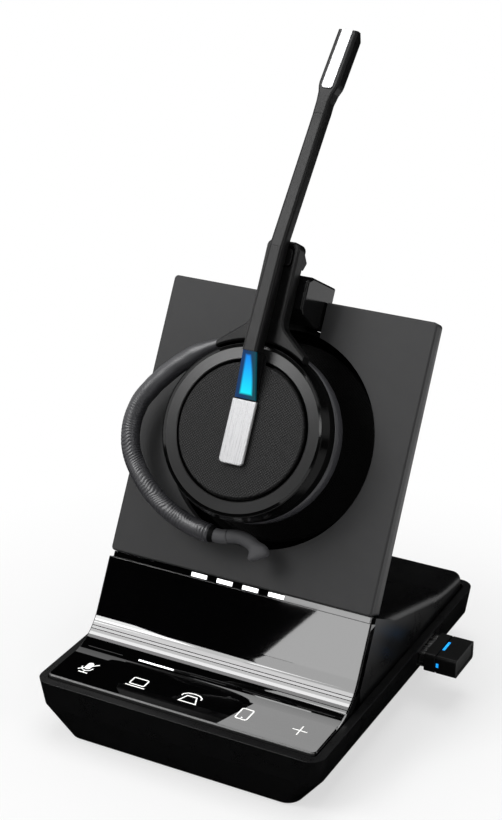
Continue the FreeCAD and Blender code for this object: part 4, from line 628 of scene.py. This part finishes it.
def ribbon(line, width, closed):
    """Left and right edges of a flat line, mitred at its corners."""
    count = len(line)
    edges = []
    for index, point in enumerate(line):
        before = line[index - 1] if closed or index else point
        after = line[(index + 1) % count] if closed or index < count - 1 else point
        ahead = (after - point).normalized() if (after - point).length else Vector((0, 0))
        behind = (point - before).normalized() if (point - before).length else ahead
        if not ahead.length:
            ahead = behind
        across = Vector((-(ahead + behind).y, (ahead + behind).x)).normalized()
        square = Vector((-ahead.y, ahead.x))
        reach = width / 2 / max(across.dot(square), 0.35)
        edges.append((point + across * reach, point - across * reach))
    return edges


class Print:
    """Flat marks laid on the touch panel, gathered into one mesh."""

    def __init__(self, tree, lift):
        self.tree = tree
        self.lift = lift
        self.points = []
        self.faces = []

    def laid(self, spot, height):
        """The point on the panel under a spot, raised a little."""
        hit = self.tree.ray_cast(Vector((spot.x, spot.y, 1)), Vector((0, 0, -1)))
        return hit[0] + hit[1] * height

    def stroke(self, line, width, closed=False):
        line = [Vector(point) for point in line]
        edges = ribbon(line, width, closed)
        start = len(self.points)
        for left, right in edges:
            for spot, height in ((left, self.lift), (right, self.lift),
                                 (right, -self.lift), (left, -self.lift)):
                self.points.append(self.laid(spot, height))
        count = len(edges)
        for index in range(count if closed else count - 1):
            here = start + index * 4
            there = start + (index + 1) % count * 4
            for side in range(4):
                turn = (side + 1) % 4
                self.faces.append((here + side, there + side, there + turn, here + turn))
        if not closed:
            last = start + (count - 1) * 4
            self.faces.append((start, start + 1, start + 2, start + 3))
            self.faces.append((last + 3, last + 2, last + 1, last))

    def filled(self, outline):
        """A filled shape from its corners."""
        start = len(self.points)
        corners = [Vector(point) for point in outline]
        count = len(corners)
        for height in (self.lift, -self.lift):
            self.points.extend(self.laid(corner, height) for corner in corners)
        self.faces.append(tuple(start + index for index in range(count)))
        self.faces.append(tuple(start + count + index for index in reversed(range(count))))
        for index in range(count):
            turn = (index + 1) % count
            self.faces.append((start + index, start + count + index,
                               start + count + turn, start + turn))


def arc(centre, radius, start, end, steps=12):
    """Points along an arc, in degrees."""
    points = []
    for step in range(steps + 1):
        angle = math.radians(start + (end - start) * step / steps)
        points.append((centre[0] + radius * math.cos(angle), centre[1] + radius * math.sin(angle)))
    return points


def rounded_box(centre, width, height, corner):
    """Corners of a rounded rectangle."""
    points = []
    for across, along, start in ((1, -1, -90), (1, 1, 0), (-1, 1, 90), (-1, -1, 180)):
        middle = (centre[0] + across * (width / 2 - corner),
                  centre[1] + along * (height / 2 - corner))
        points.extend(arc(middle, corner, start, start + 90, 3))
    return points


# ---- the touch panel's symbols ---------------------------------------------------------------


SYMBOL_ROW = 8.2 * MM  # from the panel's front edge to the symbols' centres
GUIDE_SHARE = 0.72  # width of a light guide, as a share of a fifth of their row
THIN = 0.8  # width of a thin stroke, as a share of the line


def symbol_places():
    """Centres of the five symbols, one in front of each light guide."""
    low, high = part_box("panel_light_guides")
    wide = high.x - low.x
    pitch = (wide - wide / 5 * GUIDE_SHARE) / 4
    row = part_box("touch_panel")[0].y + SYMBOL_ROW
    return [Vector((pitch * place, row)) for place in range(-2, 3)]


def by(spot, across, along):
    """The point that lies so many millimetres from a spot."""
    return spot[0] + across * MM, spot[1] + along * MM


def path(spot, *steps):
    return [by(spot, *step) for step in steps]


def draw_microphone(sheet, spot, line):
    """A muted microphone: capsule, holder, foot and a stroke through it."""
    sheet.filled(rounded_box(by(spot, 0, 1.1), 1.9 * MM, 3.6 * MM, 0.9 * MM))
    sheet.stroke(arc(by(spot, 0, 0.3), 1.8 * MM, 180, 360), line * THIN)
    sheet.stroke(path(spot, (0, -1.5), (0, -2.5)), line * THIN)
    sheet.stroke(path(spot, (-1.5, -2.6), (1.5, -2.6)), line)
    sheet.stroke(path(spot, (-2.3, -1.6), (2.5, 2.8)), line)


def draw_computer(sheet, spot, line):
    """A laptop computer: screen and foot."""
    sheet.stroke(rounded_box(by(spot, 0, 0.5), 4.8 * MM, 3.3 * MM, 0.5 * MM), line, closed=True)
    sheet.stroke(path(spot, (-3.2, -2.1), (3.2, -2.1)), line)


def draw_desk_phone(sheet, spot, line):
    """A desk telephone: handset over its body."""
    sheet.stroke(path(spot, (-1.5, 0.9), (1.5, 0.9), (2.7, -2.3), (-2.7, -2.3)), line, closed=True)
    sheet.stroke(path(spot, (-3.1, 0.3), (-3.0, 1.2), (-1.9, 2.1), (0, 2.4), (1.9, 2.1),
                      (3.0, 1.2), (3.1, 0.3)), line)


def draw_mobile(sheet, spot, line):
    """A mobile telephone with its button."""
    sheet.stroke(rounded_box(spot, 3.6 * MM, 5.2 * MM, 0.6 * MM), line, closed=True)
    sheet.filled(arc(by(spot, 0, -1.8), 0.28 * MM, 0, 330, 11))


def draw_plus(sheet, spot, line):
    """A thin cross for pairing."""
    sheet.stroke(path(spot, (-2.3, 0), (2.3, 0)), line * THIN)
    for side in (-1, 1):
        ends = sorted((spot.y + side * 2.3 * MM, spot.y + side * line * THIN / 2))
        sheet.stroke([(spot.x, end) for end in ends], line * THIN)


# ---- the ear hook's route --------------------------------------------------------------------

# Lengths and radii in millimetres, bends as a radius and an angle in degrees.
HOOK_BENDS = ((8.7, 25.9), (54, 30.8), (18.5, 73), (40.7, 47.3))
HOOK_START = 3.7
COLLAR = 1.4
TIP_BENDS = ((14, 20), (-9.8, 74))


class HookLine:
    """The ear hook's flat centre line in the face's frame, walked by distance."""

    def __init__(self):
        start = FACE.inverted() @ Vector(JOINTS["ear_hook_swing"]["pos_m"])
        self.height = start.z
        self.runs = []
        place = Vector((start.x, start.y))
        heading = math.pi
        self.runs.append((place, heading, HOOK_START * MM, 0.0))
        place = place + Vector((math.cos(heading), math.sin(heading))) * HOOK_START * MM
        for radius, degrees in HOOK_BENDS:
            radius *= MM
            turn = math.radians(degrees)
            self.runs.append((place, heading, radius * turn, 1 / radius))
            place = self.along(self.runs[-1], radius * turn)[0]
            heading += turn

    def add(self, distance, bend):
        """Another run after the last one; a bend is one over its radius, with its side."""
        place, heading = self.along(self.runs[-1], self.runs[-1][2])
        self.runs.append((place, heading, distance, bend))

    @staticmethod
    def along(run, distance):
        """Place and heading at a distance into a run."""
        place, heading, _, bend = run
        if not bend:
            return place + Vector((math.cos(heading), math.sin(heading))) * distance, heading
        radius = 1 / bend
        turned = heading + distance * bend
        centre = place + Vector((-math.sin(heading), math.cos(heading))) * radius
        return centre + Vector((math.sin(turned), -math.cos(turned))) * radius, turned

    def reach(self, first, last):
        """Length of the runs from the first up to the last."""
        return sum(run[2] for run in self.runs[first:last])

    def at(self, distance):
        """Place on the line and the direction to its left."""
        for run in self.runs:
            if distance <= run[2] or run is self.runs[-1]:
                place, heading = self.along(run, distance)
                return (Vector((place.x, place.y, self.height)),
                        Vector((-math.sin(heading), math.cos(heading), 0)))
            distance -= run[2]


def bell(distance, width):
    """1 at no distance, falling off smoothly over the width."""
    return math.exp(-(distance / width) ** 2)


def ease(value):
    """Smooth step from 0 to 1."""
    value = min(max(value, 0), 1)
    return value * value * (3 - 2 * value)


def dome(value):
    """Quarter circle that rises from 0 to 1."""
    value = min(value, 1)
    return math.sqrt(max(value * (2 - value), 0))


def squared(value, power):
    """A sine or cosine pushed out towards a square; the sign is kept."""
    return math.copysign(abs(value) ** power, value)


def crease(along, angle, seed):
    """Depth of the leather's fine creases, which run round the sleeve and fade in and out."""
    round_it = Vector((math.cos(angle), math.sin(angle), 0))
    wander = noise.noise(Vector((along * 190, round_it.x * 0.8, round_it.y * 0.8 + seed)))
    phase = along / (0.95 * MM) + wander * 1.7
    ridge = abs(math.sin(math.pi * phase))
    fade = noise.noise(Vector((along * 330 + 9, round_it.x * 1.6, round_it.y * 1.6 + seed)))
    return (1 - ridge) ** 1.3 * min(max(0.62 + fade * 1.1, 0.25), 1)


# ---- operators -------------------------------------------------------------------------------

BAR_GAP = 0.6 * MM  # from the light guides to the indicator bars
BAR_LIT = 1  # place of the lit bar in the row
BAR_STEPS = 8
PAD_INNER = 13.5 * MM  # radius of the ear pad's opening
PAD_RINGS, PAD_SIDES = 220, 44
PAD_PUCKERS = 46
PAD_SEAM_TURN = 0.9  # where the seam runs round the pad's section, in radians
SLEEVE_STEP = 0.16 * MM
SLEEVE_SIDES = 56
TIP_RINGS, TIP_SIDES = 130, 40


def settings():
    scene = bpy.context.scene
    return scene.headset_sizes, scene.headset_colours


class HEADSET_OT_finishes(bpy.types.Operator):
    """Makes the finishes and gives every CAD piece its own"""

    bl_idname = "headset.finishes"
    bl_label = "Finishes"

    def execute(self, context):
        sizes, tones = settings()
        made = make_finishes(tones, sizes)
        dressed = set()
        for finish, names in NODE_FINISHES.items():
            for name in names.split():
                data = frame["nodes"][name].data
                data.materials.clear()
                data.materials.append(made[finish].material)
                dressed.add(name)
        bare = sorted(set(frame["nodes"]) - dressed)
        if bare:
            raise RuntimeError(f"no finish for {bare}")
        return {"FINISHED"}


class HEADSET_OT_panel_symbols(bpy.types.Operator):
    """Prints the five symbols and the indicator bars on the touch panel"""

    bl_idname = "headset.panel_symbols"
    bl_label = "Panel symbols"

    def execute(self, context):
        sizes, _ = settings()
        tree = surface_of("touch_panel")
        symbols, lit, dim = (Print(tree, sizes.ink_lift) for _ in range(3))
        spots = symbol_places()
        for draw, spot in zip((draw_microphone, draw_computer, draw_desk_phone, draw_mobile,
                               draw_plus), spots):
            draw(symbols, spot, sizes.ink_line)
        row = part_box("panel_light_guides")[1].y + BAR_GAP
        half = sizes.bar_length / 2
        for index, spot in enumerate(spots):
            sheet, share = (lit, 1.3) if index == BAR_LIT else (dim, 0.5)
            line = [(spot.x - half + 2 * half * step / BAR_STEPS, row)
                    for step in range(BAR_STEPS + 1)]
            sheet.stroke(line, sizes.bar_width * share)
        for name, sheet, ink in (("panel_symbols", symbols, "panel_ink"),
                                 ("panel_bar_lit", lit, "lamp_white"),
                                 ("panel_bars_dim", dim, "panel_ink_dim")):
            make_piece(name, sheet.points, sheet.faces, ink, "base", smooth=False)
        return {"FINISHED"}


class HEADSET_OT_ear_pad(bpy.types.Operator):
    """Makes the leatherette ear pad that stands for its CAD ring"""

    bl_idname = "headset.ear_pad"
    bl_label = "Ear pad"

    def execute(self, context):
        sizes, _ = settings()
        low, high = span("ear_pad")
        middle = (high.x + PAD_INNER) / 2
        half_wide = (high.x - PAD_INNER) / 2
        half_deep = (high.z - low.z) / 2
        centre = (high.z + low.z) / 2
        points = []
        for ring in range(PAD_RINGS):
            angle = 2 * math.pi * ring / PAD_RINGS
            for side in range(PAD_SIDES):
                turn = 2 * math.pi * side / PAD_SIDES
                inside = max(-math.cos(turn), 0)
                swirl = Vector((math.cos(angle) * 9, math.sin(angle) * 9, side * 0.12))
                fold = max(noise.noise(swirl), 0) * sizes.pad_wrinkle * (0.3 + inside)
                pucker = sizes.pad_wrinkle * 0.4 * math.cos(angle * PAD_PUCKERS) * inside * inside
                seam = sizes.pad_seam * bell(turn - PAD_SEAM_TURN, 0.09)
                radius = middle + squared(math.cos(turn), 0.55) * (half_wide - fold - pucker - seam)
                depth = centre + squared(math.sin(turn), 0.55) * (
                    half_deep - fold * 0.6 - seam * 0.6)
                points.append(FACE @ Vector((radius * math.cos(angle), radius * math.sin(angle),
                                             depth)))
        pad = make_piece("ear_cushion", points, tube_faces(PAD_RINGS, PAD_SIDES, True),
                         "leather", "headset")
        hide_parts("ear_pad")
        return {"FINISHED"}


class HEADSET_OT_ear_hook(bpy.types.Operator):
    """Makes the creased sleeve that stands for the ear hook's CAD sleeve"""

    bl_idname = "headset.ear_hook"
    bl_label = "Ear hook"

    def execute(self, context):
        sizes, _ = settings()
        line = HookLine()
        start = line.reach(0, 2)
        end = line.reach(0, 5)
        taper = line.runs[2][2] * 0.43
        sides = SLEEVE_SIDES
        count = int((end - start) / SLEEVE_STEP)
        points = []
        for index in range(count + 1):
            distance = start + (end - start) * index / count
            place, leftward = line.at(distance)
            left = end - distance
            grown = ease((distance - start) / taper)
            radius = sizes.sleeve_neck + (sizes.sleeve_radius - sizes.sleeve_neck) * grown
            radius *= 0.88 + 0.12 * dome(left / (0.5 * MM))
            radius += 0.16 * MM * bell(distance - start - 0.7 * MM, 0.35 * MM)
            radius += 0.14 * MM * bell(left - 0.6 * MM, 0.3 * MM)
            radius -= 0.22 * MM * bell(left - 1.25 * MM, 0.2 * MM)
            lower = (distance - start) / (end - start)
            strength = sizes.sleeve_crease * (0.12 + 0.88 * min(max((lower - 0.3) / 0.2, 0), 1))
            for side in range(sides):
                angle = 2 * math.pi * side / sides
                inner_side = 0.5 + 0.5 * math.cos(angle)
                dip = strength * crease(distance, angle, 3.0) * (0.45 + 0.55 * inner_side)
                swell = 0.12 * MM * noise.noise(Vector((distance * 260, math.cos(angle), 7.0)))
                reach = radius - dip * grown + swell * grown
                spot = place + leftward * (math.cos(angle) * reach)
                spot.z += math.sin(angle) * reach
                points.append(FACE @ spot)
        faces = tube_faces(count + 1, sides, False)
        faces.append(tuple(range(sides)))
        faces.append(tuple(count * sides + side for side in reversed(range(sides))))
        sleeve = make_piece("padded_sleeve", points, faces, "leather", "ear_hook")
        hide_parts("hook_sleeve")
        return {"FINISHED"}


class HEADSET_OT_rubber_end(bpy.types.Operator):
    """Makes the bent rubber end of the ear hook, with its flared foot"""

    bl_idname = "headset.rubber_end"
    bl_label = "Rubber end"

    def execute(self, context):
        sizes, _ = settings()
        line = HookLine()
        start = line.reach(0, 5) + COLLAR * MM
        line.add(COLLAR * MM, 0)
        for radius, degrees in TIP_BENDS:
            line.add(abs(radius) * MM * math.radians(degrees), 1 / (radius * MM))
        groove = line.reach(0, 7) - 0.5 * MM
        end = line.reach(0, 8)
        sides = TIP_SIDES
        points = []
        for index in range(TIP_RINGS + 1):
            distance = start + (end - start) * index / TIP_RINGS
            place, leftward = line.at(distance)
            left = end - distance
            radius = sizes.tip_radius * (1.04 if distance < groove else 1.0)
            radius -= 0.3 * MM * bell(distance - groove, 0.16 * MM)
            flare = ease((4.6 * MM - left) / (2.6 * MM))
            closing = 0.5 + 0.5 * dome(left / (1.5 * MM))
            power = 1 - 0.3 * flare
            for side in range(sides):
                angle = 2 * math.pi * side / sides
                across = squared(math.cos(angle), power)
                deep = squared(math.sin(angle), power)
                wide = radius * (1 + flare * (0.75 if across < 0 else 0.45)) * closing
                spot = place + leftward * (across * wide)
                spot.z += deep * radius * (1 + 0.1 * flare) * closing
                points.append(FACE @ spot)
        faces = tube_faces(TIP_RINGS + 1, sides, False)
        faces.append(tuple(reversed(range(sides))))
        faces.append(tuple(TIP_RINGS * sides + side for side in range(sides)))
        tip = make_piece("rubber_tip", points, faces, "rubber", "ear_hook")
        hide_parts("hook_tip")
        return {"FINISHED"}


class HEADSET_OT_stage(bpy.types.Operator):
    """Sets the floor, the soft lights and the camera"""

    bl_idname = "headset.stage"
    bl_label = "Floor, lights and camera"

    def execute(self, context):
        _, tones = settings()
        scene = bpy.context.scene
        make_floor(tones)
        make_world(scene)
        for name, strength, corners in CARDS:
            make_card(name, strength, corners)
        for name, place, aim, size, power in LAMPS:
            make_lamp(name, place, aim, size, power)
        lit = bpy.data.collections.new("lit_by_strips")
        lit.objects.link(bpy.data.objects["touch_panel"])
        for strip in STRIPS:
            make_strip(*strip, lit)
        make_camera(scene)
        scene.view_settings.view_transform = "Standard"
        return {"FINISHED"}


FLOOR_HALF = 3.0
FLOOR_FADE = (0.06, 0.15, 0.6, 1.0)  # from and to this far out, the floor is so much plain white
WORLD_LIGHT = 0.36  # strength of the world's light on the object; what is seen of it is 1


def seen_rays(tree):
    """1 for what the camera sees, straight, in a reflection or through something clear."""
    rays = tree.nodes.new("ShaderNodeLightPath")
    seen = rays.outputs["Is Camera Ray"]
    for kind in ("Is Glossy Ray", "Is Transmission Ray"):
        either = tree.nodes.new("ShaderNodeMath")
        either.operation = "MAXIMUM"
        tree.links.new(seen, either.inputs[0])
        tree.links.new(rays.outputs[kind], either.inputs[1])
        seen = either.outputs["Value"]
    return seen


def mix_shaders(tree, mask, first, second, output):
    """Mixes two shaders by a mask into the tree's output node."""
    mix = tree.nodes.new("ShaderNodeMixShader")
    for source, target in zip((mask, first, second), mix.inputs):
        tree.links.new(source, target)
    tree.links.new(mix.outputs["Shader"], tree.nodes[output].inputs["Surface"])


def make_floor(tones):
    """A pale floor that keeps the object's shadow and fades into the background."""
    data = bpy.data.meshes.new("floor")
    data.from_pydata(level(-FLOOR_HALF, FLOOR_HALF, -FLOOR_HALF, FLOOR_HALF, 0), [],
                     [(0, 1, 2, 3)])
    floor = bpy.data.objects.new("floor", data)
    bpy.context.scene.collection.objects.link(floor)
    finish = Finish("floor_paper", tones.floor, 0.9, specular=0.0)
    finish.tint(finish.remap(finish.noise(60 * MM), 0.4, 0.7),
                [value * 0.99 for value in tones.floor])
    far = finish.add("ShaderNodeVectorMath", operation="LENGTH")
    finish.link(finish.place, far.inputs[0])
    fade = finish.math("MULTIPLY", finish.remap(far.outputs["Value"], *FLOOR_FADE),
                       seen_rays(finish.tree))
    white = finish.add("ShaderNodeEmission")
    mix_shaders(finish.tree, fade, finish.shader.outputs["BSDF"], white.outputs["Emission"],
                "Material Output")
    data.materials.append(finish.material)


def make_world(scene):
    """A soft grey light on the object, seen as plain white."""
    world = bpy.data.worlds.new("studio")
    scene.world = world
    world.use_nodes = True
    tree = world.node_tree
    light = tree.nodes["Background"]
    white = tree.nodes.new("ShaderNodeBackground")
    for node, strength in ((light, WORLD_LIGHT), (white, 1.0)):
        node.inputs["Color"].default_value = (1, 1, 1, 1)
        node.inputs["Strength"].default_value = strength
    mix_shaders(tree, seen_rays(tree), light.outputs["Background"], white.outputs["Background"],
                "World Output")


def level(left, right, front, back, height):
    """Corners of a level rectangle."""
    return ((left, front, height), (right, front, height), (right, back, height),
            (left, back, height))


def facing(left, right, foot, top, depth):
    """Corners of an upright rectangle across the view."""
    return ((left, depth, foot), (right, depth, foot), (right, depth, top), (left, depth, top))


def beside(front, back, foot, top, place):
    """Corners of an upright rectangle along the view."""
    return ((place, front, foot), (place, back, foot), (place, back, top), (place, front, top))


# Cards that polish shows: name, strength (0 is black) and corners in metres.
CARDS = (
    ("card_front_dark", 0, facing(-0.86, 0.75, 0.2, 0.96, -0.9)),
    ("card_front_low", 5.6, ((-0.42, -0.87, 0.3), (-0.27, -0.87, 0.3), (-0.27, -0.87, 0.437),
                             (-0.345, -0.87, 0.437))),
    ("card_front_high", 5.2, ((-0.385, -0.88, 0.437), (-0.27, -0.88, 0.437), (-0.3, -0.88, 0.92),
                              (-0.515, -0.88, 0.92))),
    ("card_left_high", 12.0, ((-0.86, -0.885, 0.68), (-0.58, -0.885, 0.68), (-0.6, -0.885, 0.96),
                              (-0.86, -0.885, 0.96))),
    ("card_floor_dark", 0, level(-0.5, 0.07, -0.35, 0.4, 0.0006)),
    ("card_floor_right", 0, level(0.3, 0.8, -0.12, 0.6, 0.0006)),
    ("card_back_dark", 0, facing(0.4, -0.6, 0.0, 0.4, 0.4)),
    ("card_right_dark", 0, beside(-0.9, 0.3, 0.05, 0.9, 0.75)),
    ("card_right_light", 4.5, beside(-0.62, -0.2, 0.44, 0.8, 0.73)),
    ("card_over_dark", 0, level(-0.9, 0.3, -0.95, 0.6, 0.96)),
    ("card_over_edge", 5.4, ((-0.53, -0.9, 0.93), (-0.15, -0.9, 0.93), (-0.15, -0.76, 0.93),
                             (-0.50, -0.76, 0.93))),
    ("card_over_front", 9.0, level(-0.88, -0.15, -0.76, -0.565, 0.93)),
    ("card_over_second", 9.5, level(-0.88, -0.15, -0.53, -0.415, 0.93)),
    ("card_over_third", 7.5, level(-0.88, -0.15, -0.385, -0.27, 0.93)),
    ("card_over_fourth", 12.0, level(-0.88, -0.15, -0.27, -0.15, 0.93)),
    ("card_over_fifth", 3.2, level(-0.88, -0.15, -0.15, -0.03, 0.93)),
    ("card_over_rear", 4.2, ((-0.36, 0.0, 0.95), (-0.2, 0.0, 0.95), (-0.2, 0.58, 0.95),
                             (-0.45, 0.58, 0.95))),
)


def hide_from(thing, *rays):
    """Hides an object or lamp from these kinds of ray."""
    for kind in rays:
        setattr(thing, f"visible_{kind}", False)


def make_card(name, strength, corners):
    """A studio card that only polished surfaces see: black, or lit evenly."""
    data = bpy.data.meshes.new(name)
    data.from_pydata(corners, [], [(0, 1, 2, 3)])
    card = bpy.data.objects.new(name, data)
    bpy.context.scene.collection.objects.link(card)
    hide_from(card, "camera", "diffuse", "transmission", "volume_scatter", "shadow")
    material = bpy.data.materials.new(name)
    material.use_nodes = True
    tree = material.node_tree
    tree.nodes.remove(tree.nodes["Principled BSDF"])
    light = tree.nodes.new("ShaderNodeEmission")
    light.inputs["Strength"].default_value = strength
    tree.links.new(light.outputs["Emission"], tree.nodes["Material Output"].inputs["Surface"])
    data.materials.append(material)


# Soft lamps: name, place, aim, size in metres and power in watts.
LAMPS = (
    ("key_lamp", (-0.55, -0.7, 1.0), (0, 0, 0.08), (0.6, 0.5), 7.0),
    ("top_lamp", (0.0, 0.1, 1.2), (0, 0, 0.08), (0.8, 0.6), 5.5),
    ("side_lamp", (0.95, -0.15, 0.45), (0, 0, 0.09), (0.3, 0.7), 1.8),
)
# Strip lamps for the touch panel's polish: name, place, aim, turn in degrees, size, strength.
STRIPS = (
    ("panel_strip", (0.0208, -0.0085, 0.0652), (0.0208, -0.8865, 0.5439), 49, (0.10, 0.07), 2.5),
    ("bend_strip", (0.0327, -0.0335, 0.0219), (0.0327, -1.0335, 0.0219), 0, (0.031, 0.0018), 3.6),
)


def make_lamp(name, place, aim, size, power, turn=0):
    """A rectangular lamp that points at its aim; polish does not show the side lamp."""
    data = bpy.data.lights.new(name, "AREA")
    data.shape = "RECTANGLE"
    data.size, data.size_y = size
    data.energy = power
    lamp = bpy.data.objects.new(name, data)
    bpy.context.scene.collection.objects.link(lamp)
    lamp.location = place
    look = (Vector(aim) - Vector(place)).to_track_quat("-Z", "Y").to_matrix().to_4x4()
    lamp.rotation_euler = (look @ Matrix.Rotation(math.radians(turn), 4, "Z")).to_euler()
    lamp.visible_glossy = name != "side_lamp"
    return lamp


def make_strip(name, place, aim, turn, size, strength, lit):
    """A lamp of an even strength, close to the panel, that only the panel's polish shows."""
    power = strength * math.pi * size[0] * size[1]
    lamp = make_lamp(name, place, aim, size, power, turn)
    hide_from(lamp, "camera", "diffuse", "transmission", "volume_scatter")
    lamp.light_linking.receiver_collection = lit


# Places in metres, roll in degrees, lens in millimetres.
CAMERA_PLACE = (0.22369, -0.43475, 0.30808)
CAMERA_AIM = (0.00085, -0.0110, 0.0963)
CAMERA_ROLL = 0.187
CAMERA_LENS = 81.36


def make_camera(scene):
    """The camera, aimed and then rolled a little about its view."""
    data = bpy.data.cameras.new("camera")
    data.lens = CAMERA_LENS
    data.sensor_width = 36
    data.clip_start = 0.01
    data.clip_end = 20
    camera = bpy.data.objects.new("camera", data)
    scene.collection.objects.link(camera)
    camera.location = CAMERA_PLACE
    look = (Vector(CAMERA_AIM) - Vector(CAMERA_PLACE)).to_track_quat("-Z", "Y")
    roll = Matrix.Rotation(math.radians(CAMERA_ROLL), 4, "Z")
    camera.rotation_euler = (look.to_matrix().to_4x4() @ roll).to_euler()
    scene.camera = camera


class HEADSET_PT_panel(bpy.types.Panel):
    """Lists the sizes, colours and steps of the headset"""

    bl_idname = "HEADSET_PT_panel"
    bl_label = "Office headset"
    bl_space_type = "VIEW_3D"
    bl_region_type = "UI"
    bl_category = "Headset"

    def draw(self, context):
        layout = self.layout
        for group in (context.scene.headset_sizes, context.scene.headset_colours):
            for name in group.bl_rna.properties.keys():
                if name not in {"rna_type", "name"}:
                    layout.prop(group, name)
        for operator in OPERATORS:
            layout.operator(operator.bl_idname)


OPERATORS = (
    HEADSET_OT_finishes,
    HEADSET_OT_panel_symbols,
    HEADSET_OT_ear_pad,
    HEADSET_OT_ear_hook,
    HEADSET_OT_rubber_end,
    HEADSET_OT_stage,
)
CLASSES = (HeadsetSizes, HeadsetColours, *OPERATORS, HEADSET_PT_panel)


def register():
    for cls in CLASSES:
        bpy.utils.register_class(cls)
    bpy.types.Scene.headset_sizes = PointerProperty(type=HeadsetSizes)
    bpy.types.Scene.headset_colours = PointerProperty(type=HeadsetColours)


def unregister():
    del bpy.types.Scene.headset_colours
    del bpy.types.Scene.headset_sizes
    for cls in reversed(CLASSES):
        bpy.utils.unregister_class(cls)


def main():
    """Registers the add-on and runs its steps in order."""
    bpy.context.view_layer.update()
    register()
    for operator in OPERATORS:
        group, step = operator.bl_idname.split(".")
        getattr(getattr(bpy.ops, group), step)()


if __name__ == "__main__":
    main()
